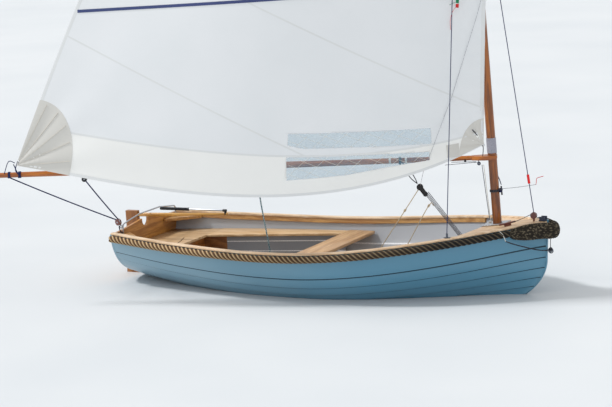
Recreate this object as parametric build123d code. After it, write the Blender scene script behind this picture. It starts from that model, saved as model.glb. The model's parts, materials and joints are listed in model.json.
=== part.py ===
from build123d import *
from math import asin, atan2, cos, degrees, pi, radians, sin, sqrt, tan
import os

# An open clinker dinghy with a standing lug sail, afloat.
# Millimetres. +X to the bow, +Y to port, +Z up.
# The origin is on the centreline amidships, on the waterline.

# Hull
HULL_AFT = -1700.0            # aft end of the planking
HULL_FORE = 1722.0            # forward end of the planking at the sheer
HALF_BEAM = 727.0
TRANSOM_HALF_BEAM = 516.0
WIDEST_AT = 0.50              # share of the length from the transom
BOW_FULLNESS = 2.2
SHEER_STERN = 403.0
SHEER_LOW = 384.0
SHEER_BOW = 556.0
SHEER_LOW_AT = 0.30
KEEL_STERN = 30.0             # planking's lowest line at the transom
KEEL_LOW = -135.0
KEEL_BOW = -105.0
STRAKES = 9
SHEER_STRAKE_SHARE = 0.20     # share of the girth
PLANKING = 10.0               # wall of the hull
LAND = 7.0                    # step where one strake laps the next
STEM_SIDING = 24.0            # width of the stem
STEM_SWEEP = 670.0            # length of the rounded forefoot
STEM_DEPTH = 410.0            # depth of the rounded forefoot
STEM_KNUCKLE = 280.0          # height where the forefoot starts
STEM_MOULDING = 8.0          # depth of the stem piece, fore and aft
SEAT_GAP = 0.3                # clearance between fitted pieces

# Keel, skeg and centreboard case
KEEL_SIDING = 60.0
KEEL_DEPTH = 24.0
SKEG_LENGTH = 900.0
SKEG_DEPTH = 190.0            # below the transom's lowest point
SLOT_AFT = -225.0
SLOT_FORE = 735.0
SLOT_WIDTH = 32.0
CASE_WALL = 12.0
CASE_TOP = 258.0
BOARD_THICK = 20.0
BOARD_CHORD = 250.0
BOARD_LENGTH = 850.0
BOARD_PIVOT_X = 640.0
BOARD_PIVOT_Z = -20.0
BOARD_PIN_RADIUS = 6.0
PIN_PLAY = 0.08

# Transom and rudder
TRANSOM_THICK = 22.0
TRANSOM_CROWN = 47.0
NOTCH_WIDTH = 98.0
NOTCH_BOTTOM = 382.0         # height of the sculling notch's rounded bottom
RUDDER_AXIS_AFT = 28.0        # behind the transom
PINTLE_RADIUS = 6.0
PINTLE_HEIGHTS = (60.0, 330.0)
CHEEK_THICK = 11.0
CHEEK_GAP = 20.0
BLADE_THICK = 18.0
BLADE_LENGTH = 640.0
BLADE_PIVOT_Z = -70.0
BLADE_PIVOT_AFT = 60.0        # behind the rudder's axis
RUDDER_HEAD_TOP = 497.0
TILLER_LENGTH = 905.0
TILLER_Z = 466.0
TILLER_RISE = 2.5             # degrees
TILLER_DEPTH = 30.0
TILLER_WIDTH = 24.0

# Gunwales and fenders
CAP_THICK = 16.0
CAP_OUT = 16.0                # overhang past the planking
CAP_IN = 30.0
INWALE_DEPTH = 36.0
INWALE_THICK = 16.0
ROPE_DIAMETER = 54.0
ROPE_DROP = 28.0              # rope's centre below the sheer
ROPE_TUCK = 5.2               # how far the flare lets the rope in
BOW_FENDER_DEPTH = 122.0
BOW_FENDER_THICK = 84.0
EYE_Z = 336.0                 # towing eye on the stem
EYE_OUTER = 16.0
EYE_BORE = 9.0
EYE_THICK = 8.0
EYE_SHANK = 6.0

# Inside
BENCH_TOP = 280.0
BENCH_THICK = 20.0
STERN_SEAT_FRONT = -1300.0
STERN_SEAT_INNER = 280.0      # half width of the well at the stern seat
BENCH_INNER_FORE = 560.0      # half width of the well at the thwart
THWART_AFT = -325.0
THWART_FORE = -105.0
FLOOR_TOP = -52.0
FLOOR_THICK = 12.0
FLOOR_HALF_WIDTH = 400.0
PANEL_THICK = 12.0

# Foredeck
DECK_AFT_CENTRE = 1238.0
DECK_AFT_SIDE = 1050.0
DECK_HALF_CHORD = 500.0
DECK_THICK = 12.0
DECK_CROWN = 14.0
DECK_BELOW_SHEER = 16.0

# Mast and stays, heights along the mast from the deck
MAST_X = 1329.0
MAST_DECK_Z = 497.0
MAST_RAKE = 2.2
MAST_FOOT_Z = 40.0
MAST_RADIUS = 33.0
MAST_TOP_RADIUS = 26.0
MAST_HEIGHT = 3120.0
MAST_TAPER_FROM = 1200.0
HOUNDS = MAST_HEIGHT - 160
STAY_RADIUS = 3.0
LUG_DEPTH = 26.0              # height of the lugs that take the stays
CHAINPLATE_X = 1120.0
FORESTAY_X = 1617.0
FORESTAY_BLOCK_Z = 587.0
FORESTAY_BLOCK_RADIUS = 24.0
SLEEVE_HEIGHTS = (545.0, 655.0)
KNEE_UP = HOUNDS - 310                     # where the sail holds the slack starboard shroud out
KNEE_OUT = 260.0
KNEE_AFT = 0.0
KNEE_BEND = 900.0

# Rig, turned out to starboard as it stands
SWING = 21.0
GOOSENECK = 512.0
BOOM_RISE = 1.9
BOOM_LENGTH = 3780.0
BOOM_RADIUS = 26.0
BOOM_HEEL_RADIUS = 17.0
BOOM_END_RADIUS = 19.0
YARD_RADIUS = 21.0
YARD_END_RADIUS = 18.0
YARD_OVERHANG = 60.0
RING_WIRE = 4.5
RING_PLAY = 0.6
SAIL_THICK = 6.0
TACK = (54.0, 46.0, 622.0)        # aft, to starboard, up
CLEW = (3530.0, 30.0, 705.0)
THROAT_AFT = -60.0
THROAT_UP = 1950.0
PEAK_AFT = 1100.0
PEAK_OUT = 250.0
PEAK_UP = 4800.0
ROACH = 100.0


def share(x):
    return (x - HULL_AFT) / (HULL_FORE - HULL_AFT)


def half_beam(u):
    if u < WIDEST_AT:
        swell = sin(pi / 2 * u / WIDEST_AT)
        return TRANSOM_HALF_BEAM + (HALF_BEAM - TRANSOM_HALF_BEAM) * swell
    return HALF_BEAM * (1 - min(1.0, (u - WIDEST_AT) / (1 - WIDEST_AT)) ** BOW_FULLNESS)


def sheer(x):
    u = share(x)
    if u < SHEER_LOW_AT:
        return SHEER_LOW + (SHEER_STERN - SHEER_LOW) * ((SHEER_LOW_AT - u) / SHEER_LOW_AT) ** 2
    return SHEER_LOW + (SHEER_BOW - SHEER_LOW) * ((u - SHEER_LOW_AT) / (1 - SHEER_LOW_AT)) ** 2.1


def keel_line(x):
    u = share(x)
    if u < 0.5:
        return KEEL_LOW + (KEEL_STERN - KEEL_LOW) * ((0.5 - u) / 0.5) ** 2
    return KEEL_LOW + (KEEL_BOW - KEEL_LOW) * ((u - 0.5) / 0.5) ** 2


def stem_x(z):
    """Forward edge of the planking at a height: an ellipse below the knuckle, near plumb above."""
    if z > STEM_KNUCKLE:
        return HULL_FORE - (SHEER_BOW - z) * 0.065
    knuckle = HULL_FORE - (SHEER_BOW - STEM_KNUCKLE) * 0.065
    drop = min(1.0, (STEM_KNUCKLE - z) / STEM_DEPTH)
    return knuckle - STEM_SWEEP * (1 - sqrt(1 - drop * drop))


def moulded(x, w):
    """Half breadth and height of the hull at x, w from 0 at the keel to 1 at the sheer."""
    u = share(x)
    bow = max(0.0, (u - 0.5) / 0.5)
    top, low = sheer(x), keel_line(x)
    full = (0.0, 0.62 - 0.40 * bow ** 1.5, 0.90 - 0.30 * bow ** 1.5, 1.0)
    rise = (0.0, 0.04 + 0.10 * bow ** 1.5, 0.26 + 0.30 * bow ** 1.5, 1.0)
    weights = ((1 - w) ** 3, 3 * w * (1 - w) ** 2, 3 * w * w * (1 - w), w ** 3)
    z = low + (top - low) * sum(a * b for a, b in zip(weights, rise))
    setback = (stem_x(top) - stem_x(z)) / (HULL_FORE - HULL_AFT)
    y = half_beam(u + setback * bow) * sum(a * b for a, b in zip(weights, full))
    return max(y, STEM_SIDING / 2 * min(1.0, w * 12)), z


def proud(x, w, out):
    """A point of the section moved out by a distance, square to it."""
    step = 0.01
    y0, z0 = moulded(x, max(0.0, w - step))
    y1, z1 = moulded(x, min(1.0, w + step))
    y, z = moulded(x, w)
    run = sqrt((y1 - y0) ** 2 + (z1 - z0) ** 2)
    return y + out * (z1 - z0) / run, z - out * (y1 - y0) / run


def strake_edges():
    lower = [(1 - SHEER_STRAKE_SHARE) * k / (STRAKES - 1) for k in range(STRAKES)]
    return lower + [1.0]


def lapped(x, out):
    """Port half section from keel to sheer, stepped at each land and moved out by a distance."""
    edges = strake_edges()
    points = []
    for low, high in zip(edges, edges[1:]):
        points += [proud(x, low, out + LAND), proud(x, high, out)]
    points[-1] = (points[-1][0], sheer(x))
    points[0] = (0.0, keel_line(x) - out)
    return [(max(y, 0.0), z) for y, z in points]


STATIONS = (-1700, -1400, -1050, -650, -250, 150, 500, 800, 1040, 1230, 1380, 1500, 1600, 1680, 1740)


def section(x, points):
    return Wire.make_polygon([Vector(x, y, z) for y, z in points], close=True)


def through(stations, outline):
    return Solid.make_loft([section(x, outline(x)) for x in stations], ruled=True)


def both_sides(half):
    return half + mirror(half, Plane.XZ)


def shell_outline(x):
    inner = lapped(x, -PLANKING)
    inner[-1] = (inner[-1][0], sheer(x))
    keel = inner[0]
    return lapped(x, 0.0) + inner[:0:-1] + [keel]


def body_outline(out, top=0.0):
    def outline(x):
        points = lapped(x, out)
        points[-1] = (points[-1][0], sheer(x) + top)
        return points + [(0.0, points[-1][1])]
    return outline


def hull_body(out, stations=STATIONS, top=0.0):
    return both_sides(through(stations, body_outline(out, top)))


def stem_profile(ahead):
    """Side outline of the space ahead of the planking, to be filled or cut."""
    knuckle = HULL_FORE - (SHEER_BOW - STEM_KNUCKLE) * 0.065
    points = []
    for angle in (0, 18, 36, 52, 66, 76, 88):
        points.append((knuckle - STEM_SWEEP * (1 - cos(radians(angle))),
                       STEM_KNUCKLE - STEM_DEPTH * sin(radians(angle))))
    return [(stem_x(SHEER_BOW + 80) + ahead, SHEER_BOW + 80)] + [
        (x + ahead * cos(radians(a)), z - ahead * sin(radians(a)))
        for (x, z), a in zip(points, (0, 14, 30, 45, 60, 72, 88))]


def slab(points, y_low, y_high):
    """Side outline in X and Z, between two half breadths."""
    face = Face(Wire.make_polygon([Vector(x, y_low, z) for x, z in points], close=True))
    return extrude(face, amount=y_high - y_low, dir=(0, 1, 0))


def plate(points, z_low, z_high):
    """Plan outline in X and Y, between two heights."""
    face = Face(Wire.make_polygon([Vector(x, y, z_low) for x, y in points], close=True))
    return extrude(face, amount=z_high - z_low, dir=(0, 0, 1))


def block(x0, x1, y0, y1, z0, z1):
    return Pos((x0 + x1) / 2, (y0 + y1) / 2, (z0 + z1) / 2) * Box(x1 - x0, y1 - y0, z1 - z0)


def ahead_of_stem():
    edge = stem_profile(0.0)
    return slab(edge + [(edge[-1][0], -600), (2100, -600), (2100, edge[0][1])], -300, 300)


def slot_space():
    return block(SLOT_AFT, SLOT_FORE, -SLOT_WIDTH / 2, SLOT_WIDTH / 2, -400, CASE_TOP - CASE_WALL)


def hull_planking():
    shell = both_sides(through(STATIONS, shell_outline))
    return shell - ahead_of_stem() - slot_space()


def stem():
    inner, outer = stem_profile(SEAT_GAP), stem_profile(STEM_MOULDING)
    outline = inner + outer[::-1]
    post = slab(outline, -STEM_SIDING / 2, STEM_SIDING / 2)
    return post - block(1000, 2000, -100, 100, SHEER_BOW + 22, SHEER_BOW + 300)


def keel(outer):
    """Keel batten along the planking and the skeg below the stern."""
    lowest = KEEL_LOW - KEEL_DEPTH
    fore = stem_x(KEEL_LOW + 30) - 60
    skeg_bottom = KEEL_STERN - SKEG_DEPTH
    outline = [(HULL_AFT, skeg_bottom), (HULL_AFT + 350, skeg_bottom), (HULL_AFT + SKEG_LENGTH, lowest - 2),
               (0, lowest), (fore - 200, lowest + 12), (fore, KEEL_BOW + 4), (fore, 60), (HULL_AFT, 60)]
    body = slab(outline, -STEM_SIDING / 2, STEM_SIDING / 2)
    pad = block(SLOT_AFT - 60, SLOT_FORE + 60, -KEEL_SIDING / 2, KEEL_SIDING / 2, lowest, 0)
    return (body + pad) - outer - slot_space()


def transom():
    points = lapped(HULL_AFT, 0.0)
    crown = [(points[-1][0] * s, SHEER_STERN + TRANSOM_CROWN * (1 - s) ** 1.5) for s in (0.75, 0.5, 0.25, 0.1, 0.0)]
    half = points + crown
    wires = [section(x, half) for x in (HULL_AFT - TRANSOM_THICK, HULL_AFT)]
    board = both_sides(Solid.make_loft(wires, ruled=True))
    half_notch = NOTCH_WIDTH / 2
    notch = block(HULL_AFT - 60, HULL_AFT + 20, -half_notch, half_notch, NOTCH_BOTTOM + half_notch, SHEER_STERN + 100)
    round_end = Pos(HULL_AFT - 20, 0, NOTCH_BOTTOM + half_notch) * Rot(0, 90, 0) * Cylinder(half_notch, 80)
    return board - notch - round_end


def sheer_path(stations, out=0.0, up=0.0):
    """Points beside the port sheer with the direction along it, moved out and up."""
    path = []
    for x in stations:
        y0, y1 = moulded(x - 5, 1.0)[0], moulded(x + 5, 1.0)[0]
        turn = atan2(y1 - y0, 10.0)
        y = moulded(x, 1.0)[0]
        path.append((x - out * sin(turn), y + out * cos(turn), sheer(x) + up, turn))
    return path


def along(path, outline, sizes=None):
    """Solid of one outline, given outwards and up, along a path of points with a heading."""
    wires = []
    for (x, y, z, turn), size in zip(path, sizes or [1.0] * len(path)):
        ring = [Vector(x - size * a * sin(turn), y + size * a * cos(turn), z + size * c) for a, c in outline]
        wires.append(Wire.make_polygon(ring, close=True))
    return Solid.make_loft(wires, ruled=True)


def ring_outline(width, depth, sides=10):
    return [(width / 2 * cos(2 * pi * (k + 0.5) / sides), depth / 2 * sin(2 * pi * (k + 0.5) / sides))
            for k in range(sides)]


RAIL_STATIONS = (-1699, -1400, -1050, -650, -250, 150, 500, 800, 1040, 1230, 1380, 1500, 1600, 1680, 1702)


def gunwale_cap():
    outline = [(-CAP_IN, 0.2), (CAP_OUT, 0.2), (CAP_OUT, CAP_THICK - 3), (CAP_OUT - 3, CAP_THICK),
               (-CAP_IN + 3, CAP_THICK), (-CAP_IN, CAP_THICK - 3)]
    cap = along(sheer_path(RAIL_STATIONS, 0.0, 0.5), outline)
    return cap & block(-2000, 2000, SEAT_GAP, 2000, 0, 1000)


def inwale(inner):
    path = sheer_path([x for x in RAIL_STATIONS if x < 1600])
    above, foot = 5.0, -INWALE_DEPTH
    outline = [(-PLANKING - INWALE_THICK, above), (0, above), (0, foot), (-PLANKING - INWALE_THICK - 8, foot)]
    return (along(path, outline) & inner) - block(1040, 2000, -900, 900, -500, 900)


def rope_fender():
    run = [x for x in RAIL_STATIONS if -1690 < x < 1420]
    path = sheer_path([HULL_AFT + 2] + run + [1440, 1488], ROPE_DIAMETER / 2 - ROPE_TUCK, -ROPE_DROP)
    return along(path, ring_outline(ROPE_DIAMETER, ROPE_DIAMETER))


# The pad's side. Columns: station, size as a share of the full section, drop of its centre below the sheer.
PAD_SIDE = ((1500, 0.76, 42), (1540, 0.86, 43), (1585, 0.95, 46), (1625, 0.99, 50), (1665, 1.0, 55), (1700, 1.0, 63))
# The pad's nose. Columns: distance behind its tip, half breadth, heading, drop of its centre below the stem head.
PAD_NOSE = ((27.0, 43.0, -1.0, 67.0), (9.0, 25.0, -1.25, 68.0), (0.0, 0.0, -pi / 2, 69.0))


def bow_fender():
    """The thick pad round the stem head, swelling from the side ropes to its nose."""
    path = []
    for x, size, drop in PAD_SIDE:
        path += sheer_path([x], size * BOW_FENDER_THICK / 2 + 1.0, -drop)
    tip = stem_x(SHEER_BOW) + STEM_MOULDING + BOW_FENDER_THICK / 2 + 1.0
    for behind, y, turn, drop in PAD_NOSE:
        path.append((tip - behind, y, SHEER_BOW - drop, turn))
    sizes = [size for x, size, drop in PAD_SIDE] + [1.0] * len(PAD_NOSE)
    half = along(path, ring_outline(BOW_FENDER_THICK, BOW_FENDER_DEPTH, 14), sizes)
    return half + mirror(half, Plane.XZ)


def mast_frame():
    return Location((MAST_X, 0, MAST_DECK_Z), (0, -MAST_RAKE, 0))


def rig_frame():
    return mast_frame() * Location((0, 0, 0), (0, 0, SWING))


def mast_radius(h):
    if h < MAST_TAPER_FROM:
        return MAST_RADIUS
    return MAST_RADIUS + (MAST_TOP_RADIUS - MAST_RADIUS) * (h - MAST_TAPER_FROM) / (MAST_HEIGHT - MAST_TAPER_FROM)


def mast_foot():
    return MAST_FOOT_Z - MAST_DECK_Z


def mast():
    lower = Pos(0, 0, mast_foot()) * extrude(Circle(MAST_RADIUS), MAST_TAPER_FROM - mast_foot())
    upper = Solid.make_cone(MAST_RADIUS, MAST_TOP_RADIUS, MAST_HEIGHT - MAST_TAPER_FROM,
                            Plane((0, 0, MAST_TAPER_FROM)))
    return mast_frame() * (lower + upper)


def tube_between(a, b, radius):
    a, b = Vector(*a), Vector(*b)
    return Solid.make_cylinder(radius, (b - a).length, Plane(a, z_dir=b - a))


def to_world(frame, point):
    return tuple((frame * Pos(*point)).position)


def mast_sleeve():
    low, high = SLEEVE_HEIGHTS
    ring = extrude(Circle(MAST_RADIUS + 3.0) - Circle(MAST_RADIUS + 0.05), high - low)
    return mast_frame() * Pos(0, 0, low) * ring


def horn_cleat(length, height, width):
    base = Box(length * 0.4, width, height * 0.6, align=(Align.CENTER, Align.CENTER, Align.MIN))
    bar = Pos(0, 0, height * 0.8) * Rot(0, 90, 0) * Cylinder(height * 0.22, length)
    return base + bar


def mast_cleat():
    return mast_frame() * Pos(MAST_RADIUS - 1, 0, 265) * Rot(0, 90, 0) * horn_cleat(110, 26, 16) - mast()


def masthead_band():
    radius = mast_radius(HOUNDS)
    band = extrude(Circle(radius + 2.5) - Circle(radius + 0.1), 30)
    lugs = Part()
    for angle in (0, 105, 255):
        lug = Box(22, 4, LUG_DEPTH, align=(Align.MIN, Align.CENTER, Align.CENTER))
        lugs += Rot(0, 0, angle) * Pos(radius + 1, 0, 15) * lug
    return mast_frame() * Pos(0, 0, HOUNDS - 15) * (band + lugs)


def hound_point(angle, below_lug=0.9):
    reach = mast_radius(HOUNDS) + 14
    up = HOUNDS - LUG_DEPTH / 2 - below_lug
    return to_world(mast_frame(), (reach * cos(radians(angle)), reach * sin(radians(angle)), up))


def chainplate_point(side):
    y = moulded(CHAINPLATE_X, 1.0)[0] - 7
    return (CHAINPLATE_X, side * y, sheer(CHAINPLATE_X) + CAP_THICK + 27.5)


def shroud_port():
    return tube_between(chainplate_point(1), hound_point(105), STAY_RADIUS)


def shroud_starboard():
    knee = to_world(mast_frame(), (-KNEE_AFT, -KNEE_OUT, KNEE_UP))
    path = FilletPolyline(chainplate_point(-1), knee, hound_point(255, 2.3), radius=KNEE_BEND)
    return sweep(Plane(path @ 0, z_dir=path % 0) * Circle(STAY_RADIUS), path)


def forestay():
    foot = (FORESTAY_X, 0, FORESTAY_BLOCK_Z + FORESTAY_BLOCK_RADIUS + 3)
    return tube_between(foot, hound_point(0), STAY_RADIUS)


def forestay_block():
    x, z = FORESTAY_X, FORESTAY_BLOCK_Z
    cheek = Pos(x, 0, z) * Rot(90, 0, 0) * Cylinder(FORESTAY_BLOCK_RADIUS, 20)
    eye = block(x - 6, x + 6, -4, 4, deck_top(x) + 0.8, z + FORESTAY_BLOCK_RADIUS + 2)
    return cheek + eye


def chainplates():
    plates = Part()
    for side in (-1, 1):
        x, y, z = chainplate_point(side)
        plates += block(x - 24, x + 24, y - 12, y + 12, z - 23, z - 20)
        plates += block(x - 8, x + 8, y - 2, y + 2, z - 20, z - 0.8)
    return plates


def gooseneck_frame():
    return rig_frame() * Pos(0, 0, GOOSENECK) * Rot(0, BOOM_RISE, 0)


def boom():
    start = MAST_RADIUS + 22
    middle = BOOM_LENGTH * 0.5
    spar = Pos(-start, 0, 0) * Rot(0, -90, 0) * (
        Solid.make_cone(BOOM_HEEL_RADIUS, BOOM_RADIUS, middle)
        + Pos(0, 0, middle) * Solid.make_cone(BOOM_RADIUS, BOOM_END_RADIUS, BOOM_LENGTH - middle - start))
    return gooseneck_frame() * spar


def boom_jaws():
    arms = Part()
    reach = MAST_RADIUS + 1.0
    for side in (-1, 1):
        points = [(-150, side * 4), (-150, side * 24), (-60, side * (reach + 14)), (34, side * (reach + 14)),
                  (34, side * (reach + 3)), (10, side * 10), (-60, side * 4)]
        arms += plate(points, -16, 16)
    throat = Cylinder(reach, 60)
    jaws = (arms - throat) - Pos(-170, 0, 0) * Rot(0, -90, 0) * Cylinder(BOOM_HEEL_RADIUS + 0.8, 260)
    return gooseneck_frame() * (jaws - block(-300, 300, -4, 4, -40, 40))


def ring_height():
    return THROAT_UP + (PEAK_UP - THROAT_UP) * -THROAT_AFT / (PEAK_AFT - THROAT_AFT)


def throat():
    """Lower end of the sail's head, on a line that passes the mast just outside the yard's ring."""
    past = mast_radius(ring_height()) + RING_PLAY + 2 * RING_WIRE + SEAT_GAP + YARD_END_RADIUS - 0.5
    heading = atan2(PEAK_OUT, PEAK_AFT) - asin(past / sqrt(PEAK_OUT ** 2 + PEAK_AFT ** 2))
    return (THROAT_AFT, PEAK_OUT - (PEAK_AFT - THROAT_AFT) * tan(heading), THROAT_UP)


def peak():
    return (PEAK_AFT, PEAK_OUT, PEAK_UP)


def rig_point(point):
    aft, out, up = point
    return Vector(-aft, -out, up)


def yard_ends(extra=YARD_OVERHANG):
    low, high = rig_point(throat()), rig_point(peak())
    way = (high - low).normalized()
    return low - way * extra, high + way * extra


def yard():
    a, b = yard_ends()
    length = (b - a).length
    low_half = Solid.make_cone(YARD_END_RADIUS, YARD_RADIUS, length / 2)
    high_half = Pos(0, 0, length / 2) * Solid.make_cone(YARD_RADIUS, YARD_END_RADIUS - 2, length / 2)
    spar = Plane(a, z_dir=b - a) * (low_half + high_half)
    return rig_frame() * spar


def wire_ring(radius, wire):
    """A closed ring of round wire, eight flats round the wire."""
    points = [(radius + a, 0, b) for a, b in ring_outline(2 * wire, 2 * wire, 8)]
    face = Face(Wire.make_polygon([Vector(*point) for point in points], close=True))
    return revolve(face, Axis.Z, 360)


def yard_ring():
    up = ring_height()
    radius = mast_radius(up) + RING_PLAY + RING_WIRE
    return rig_frame() * Pos(0, 0, up) * wire_ring(radius, RING_WIRE)


# Sail sections. Columns: share of the height, belly, drop of the foot's middle.
SAIL_SECTIONS = ((0.0, 270.0, 273.0), (0.10, 290.0, 105.0), (0.28, 285.0, 0.0), (0.52, 235.0, 0.0),
                 (0.78, 145.0, 0.0), (1.0, 14.0, 0.0))


def sail_section(up, belly, drop, thick):
    tack, clew = rig_point(TACK), rig_point(CLEW)
    top, head = rig_point(throat()), rig_point(peak())
    luff = tack + (top - tack) * up
    leech = clew + (head - clew) * up
    across = Vector(-(head - clew).Z, 0, (head - clew).X).normalized()
    leech = leech + across * (ROACH * 4 * up * (1 - up))
    sag = Vector(0, -belly, -drop)
    skin = sag.normalized() * thick
    middle = (luff + leech) * 0.5 + sag
    near = ThreePointArc(luff + skin, middle + skin, leech + skin)
    far = ThreePointArc(luff, middle, leech)
    return Wire([far, Line(leech, leech + skin), near, Line(luff + skin, luff)])


def sail_cloth():
    wires = [sail_section(up, belly, drop, SAIL_THICK) for up, belly, drop in SAIL_SECTIONS]
    cloth = Solid.make_loft(wires)
    a, b = yard_ends(300)
    clear = Solid.make_cylinder(YARD_RADIUS + SEAT_GAP, (b - a).length, Plane(a, z_dir=b - a))
    return cloth - clear


# Windows in the sail, the corners of each in turn. Columns: aft, up.
WINDOWS = (((420, 670), (1340, 720), (1445, 752), (1435, 835), (420, 785)),
           ((445, 550), (735, 533), (1047, 500), (1480, 494), (1465, 665), (440, 613)))


def window_space():
    spaces = Part()
    for corners in WINDOWS:
        face = Face(Wire.make_polygon([Vector(-aft, 200, up) for aft, up in corners], close=True))
        spaces += extrude(face, amount=1200, dir=(0, -1, 0))
    return spaces


def sail():
    return rig_frame() * (sail_cloth() - window_space())


def sail_windows():
    return rig_frame() * (sail_cloth() & window_space())


# The sheet's horse, half of it. Columns: half breadth, height.
HORSE = ((400.0, SHEER_STERN - 22.0 + 0.8), (400.0, 468.0), (150.0, 502.0))


def sheet_horse():
    """A bent rod across the stern, its feet on the quarter knees."""
    x = HULL_AFT + 50
    half = [(x, -y, z) for y, z in HORSE]
    path = FilletPolyline(*half, *[(x, -y, z) for x, y, z in half[::-1]], radius=26)
    return sweep(Plane(path @ 0, z_dir=path % 0) * Circle(8), path)


def deck_line(x, below):
    """Deck's cross curve from the centre to the side, lowered by a distance."""
    y = moulded(x, 1.0)[0]
    top = sheer(x) - DECK_BELOW_SHEER - below
    crown = DECK_CROWN * min(1.0, y / 300)
    return [(0, top + crown), (y / 2, top + crown * 0.75), (y, top)]


DECK_STATIONS = (1000, 1100, 1200, 1300, 1400, 1500, 1580, 1650, 1700)


def foredeck(inner):
    def outline(x):
        return deck_line(x, 0) + deck_line(x, DECK_THICK)[::-1]

    deck = both_sides(through(DECK_STATIONS, outline)) & inner
    sag = DECK_AFT_CENTRE - DECK_AFT_SIDE
    radius = (DECK_HALF_CHORD ** 2 + sag ** 2) / (2 * sag)
    bite = Pos(DECK_AFT_CENTRE - radius, 0, 400) * Cylinder(radius, 800)
    return deck - bite - (mast_frame() * Cylinder(MAST_RADIUS + SEAT_GAP, 400))


def deck_beam(inner):
    sag = DECK_AFT_CENTRE - DECK_AFT_SIDE
    radius = (DECK_HALF_CHORD ** 2 + sag ** 2) / (2 * sag)
    centre = DECK_AFT_CENTRE - radius
    low = sheer(DECK_AFT_CENTRE) - DECK_BELOW_SHEER - DECK_THICK - 62
    hoop = Pos(centre, 0, low) * extrude(Circle(radius + 26) - Circle(radius + 4), 90)
    hoop = hoop & block(900, 1400, -700, 700, 0, 900) & inner

    def under(x):
        line = deck_line(x, DECK_THICK + SEAT_GAP)
        return line + [(line[-1][0], -200), (0, -200)]
    return hoop & both_sides(through(DECK_STATIONS[:6], under))


def deck_top(x):
    return deck_line(x, 0)[0][1]


def deck_slope(x):
    return degrees(atan2(deck_top(x + 50) - deck_top(x - 50), 100))


def mast_plate():
    pad = Pos(MAST_X - 12, 0, deck_top(MAST_X - 12) + 0.8) * Rot(0, -deck_slope(MAST_X), 0) * (
        Box(180, 150, 7, align=(Align.CENTER, Align.CENTER, Align.MIN)))
    return pad - (mast_frame() * Cylinder(MAST_RADIUS + SEAT_GAP, 400))


def deck_cleat():
    x = 1475
    return Pos(x, 0, deck_top(x) + 0.8) * Rot(0, -deck_slope(x), 0) * horn_cleat(130, 30, 18)


def bow_fairlead():
    x = HULL_FORE - 32
    low = sheer(x + 12) + CAP_THICK + 1.0
    base = block(x - 26, x + 26, -26, 26, low, low + 8)
    horns = block(x - 22, x + 22, -26, -16, low + 6, low + 32)
    return base + horns + mirror(horns, Plane.XZ)


def interior(out=-PLANKING - SEAT_GAP, top=0.0):
    return hull_body(out, STATIONS, top)


def well_side(x):
    part = (x - STERN_SEAT_FRONT) / (THWART_AFT - STERN_SEAT_FRONT)
    return STERN_SEAT_INNER + (BENCH_INNER_FORE - STERN_SEAT_INNER) * part


def stern_seat(inner):
    seat = block(HULL_AFT + SEAT_GAP, STERN_SEAT_FRONT, -900, 900, BENCH_TOP - BENCH_THICK, BENCH_TOP)
    return seat & inner


def side_bench(inner):
    points = [(STERN_SEAT_FRONT + SEAT_GAP, STERN_SEAT_INNER), (THWART_AFT - SEAT_GAP, BENCH_INNER_FORE),
              (THWART_AFT - SEAT_GAP, 900), (STERN_SEAT_FRONT + SEAT_GAP, 900)]
    return plate(points, BENCH_TOP - BENCH_THICK, BENCH_TOP) & inner


def stern_panel(inner):
    top = BENCH_TOP - BENCH_THICK - SEAT_GAP
    panel = block(STERN_SEAT_FRONT - 40 - PANEL_THICK, STERN_SEAT_FRONT - 40, -900, 900, -200, top)
    return panel & inner


def bench_panel(inner):
    x0, x1 = STERN_SEAT_FRONT - 39, THWART_AFT - SEAT_GAP
    lip = 30
    points = [(x0, STERN_SEAT_INNER + lip), (x1, BENCH_INNER_FORE + lip),
              (x1, BENCH_INNER_FORE + lip + PANEL_THICK), (x0, STERN_SEAT_INNER + lip + PANEL_THICK)]
    return plate(points, -200, BENCH_TOP - BENCH_THICK - SEAT_GAP) & inner


def thwart(inner):
    return block(THWART_AFT, THWART_FORE, -900, 900, BENCH_TOP - BENCH_THICK, BENCH_TOP + 4) & inner


def centreboard_case(inner):
    half = SLOT_WIDTH / 2 + CASE_WALL
    top = CASE_TOP
    case = block(SLOT_AFT - CASE_WALL, SLOT_FORE + CASE_WALL, -half, half, -300, top) & inner
    pin = Pos(BOARD_PIVOT_X, 0, BOARD_PIVOT_Z) * Rot(90, 0, 0) * Cylinder(BOARD_PIN_RADIUS, SLOT_WIDTH + 2)
    return (case - slot_space()) + pin


def centreboard():
    z = BOARD_PIVOT_Z
    x = BOARD_PIVOT_X
    aft, fore = x - BOARD_CHORD + 70, x + 70
    outline = [(aft + 6, z + 60), (fore - 20, z + 60), (fore, z - 30), (fore - 60, z - BOARD_LENGTH),
               (aft + 60, z - BOARD_LENGTH + 20), (aft, z - 200)]
    board = slab(outline, -BOARD_THICK / 2, BOARD_THICK / 2)
    hole = Pos(x, 0, z) * Rot(90, 0, 0) * Cylinder(BOARD_PIN_RADIUS + PIN_PLAY, 60)
    return board - hole


def floorboards(inner):
    boards = Part()
    for x in (-850, -300, 350, 900):
        boards += block(x - 20, x + 20, -FLOOR_HALF_WIDTH, FLOOR_HALF_WIDTH, -400, FLOOR_TOP - FLOOR_THICK)
    for k in range(4):
        y = 50 + k * 98
        for side in (-1, 1):
            low, high = sorted((side * y, side * (y + 82)))
            boards += block(-1150, 1000, low, high, FLOOR_TOP - FLOOR_THICK, FLOOR_TOP)
    half = SLOT_WIDTH / 2 + CASE_WALL + SEAT_GAP
    clear = block(SLOT_AFT - CASE_WALL - 1, SLOT_FORE + CASE_WALL + 1, -half, half, -400, 400)
    return (boards & inner) - clear


def mast_step(inner):
    step = block(MAST_X - 110, MAST_X + 90, -70, 70, -30, MAST_FOOT_Z - 1.5)
    return step & inner


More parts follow.
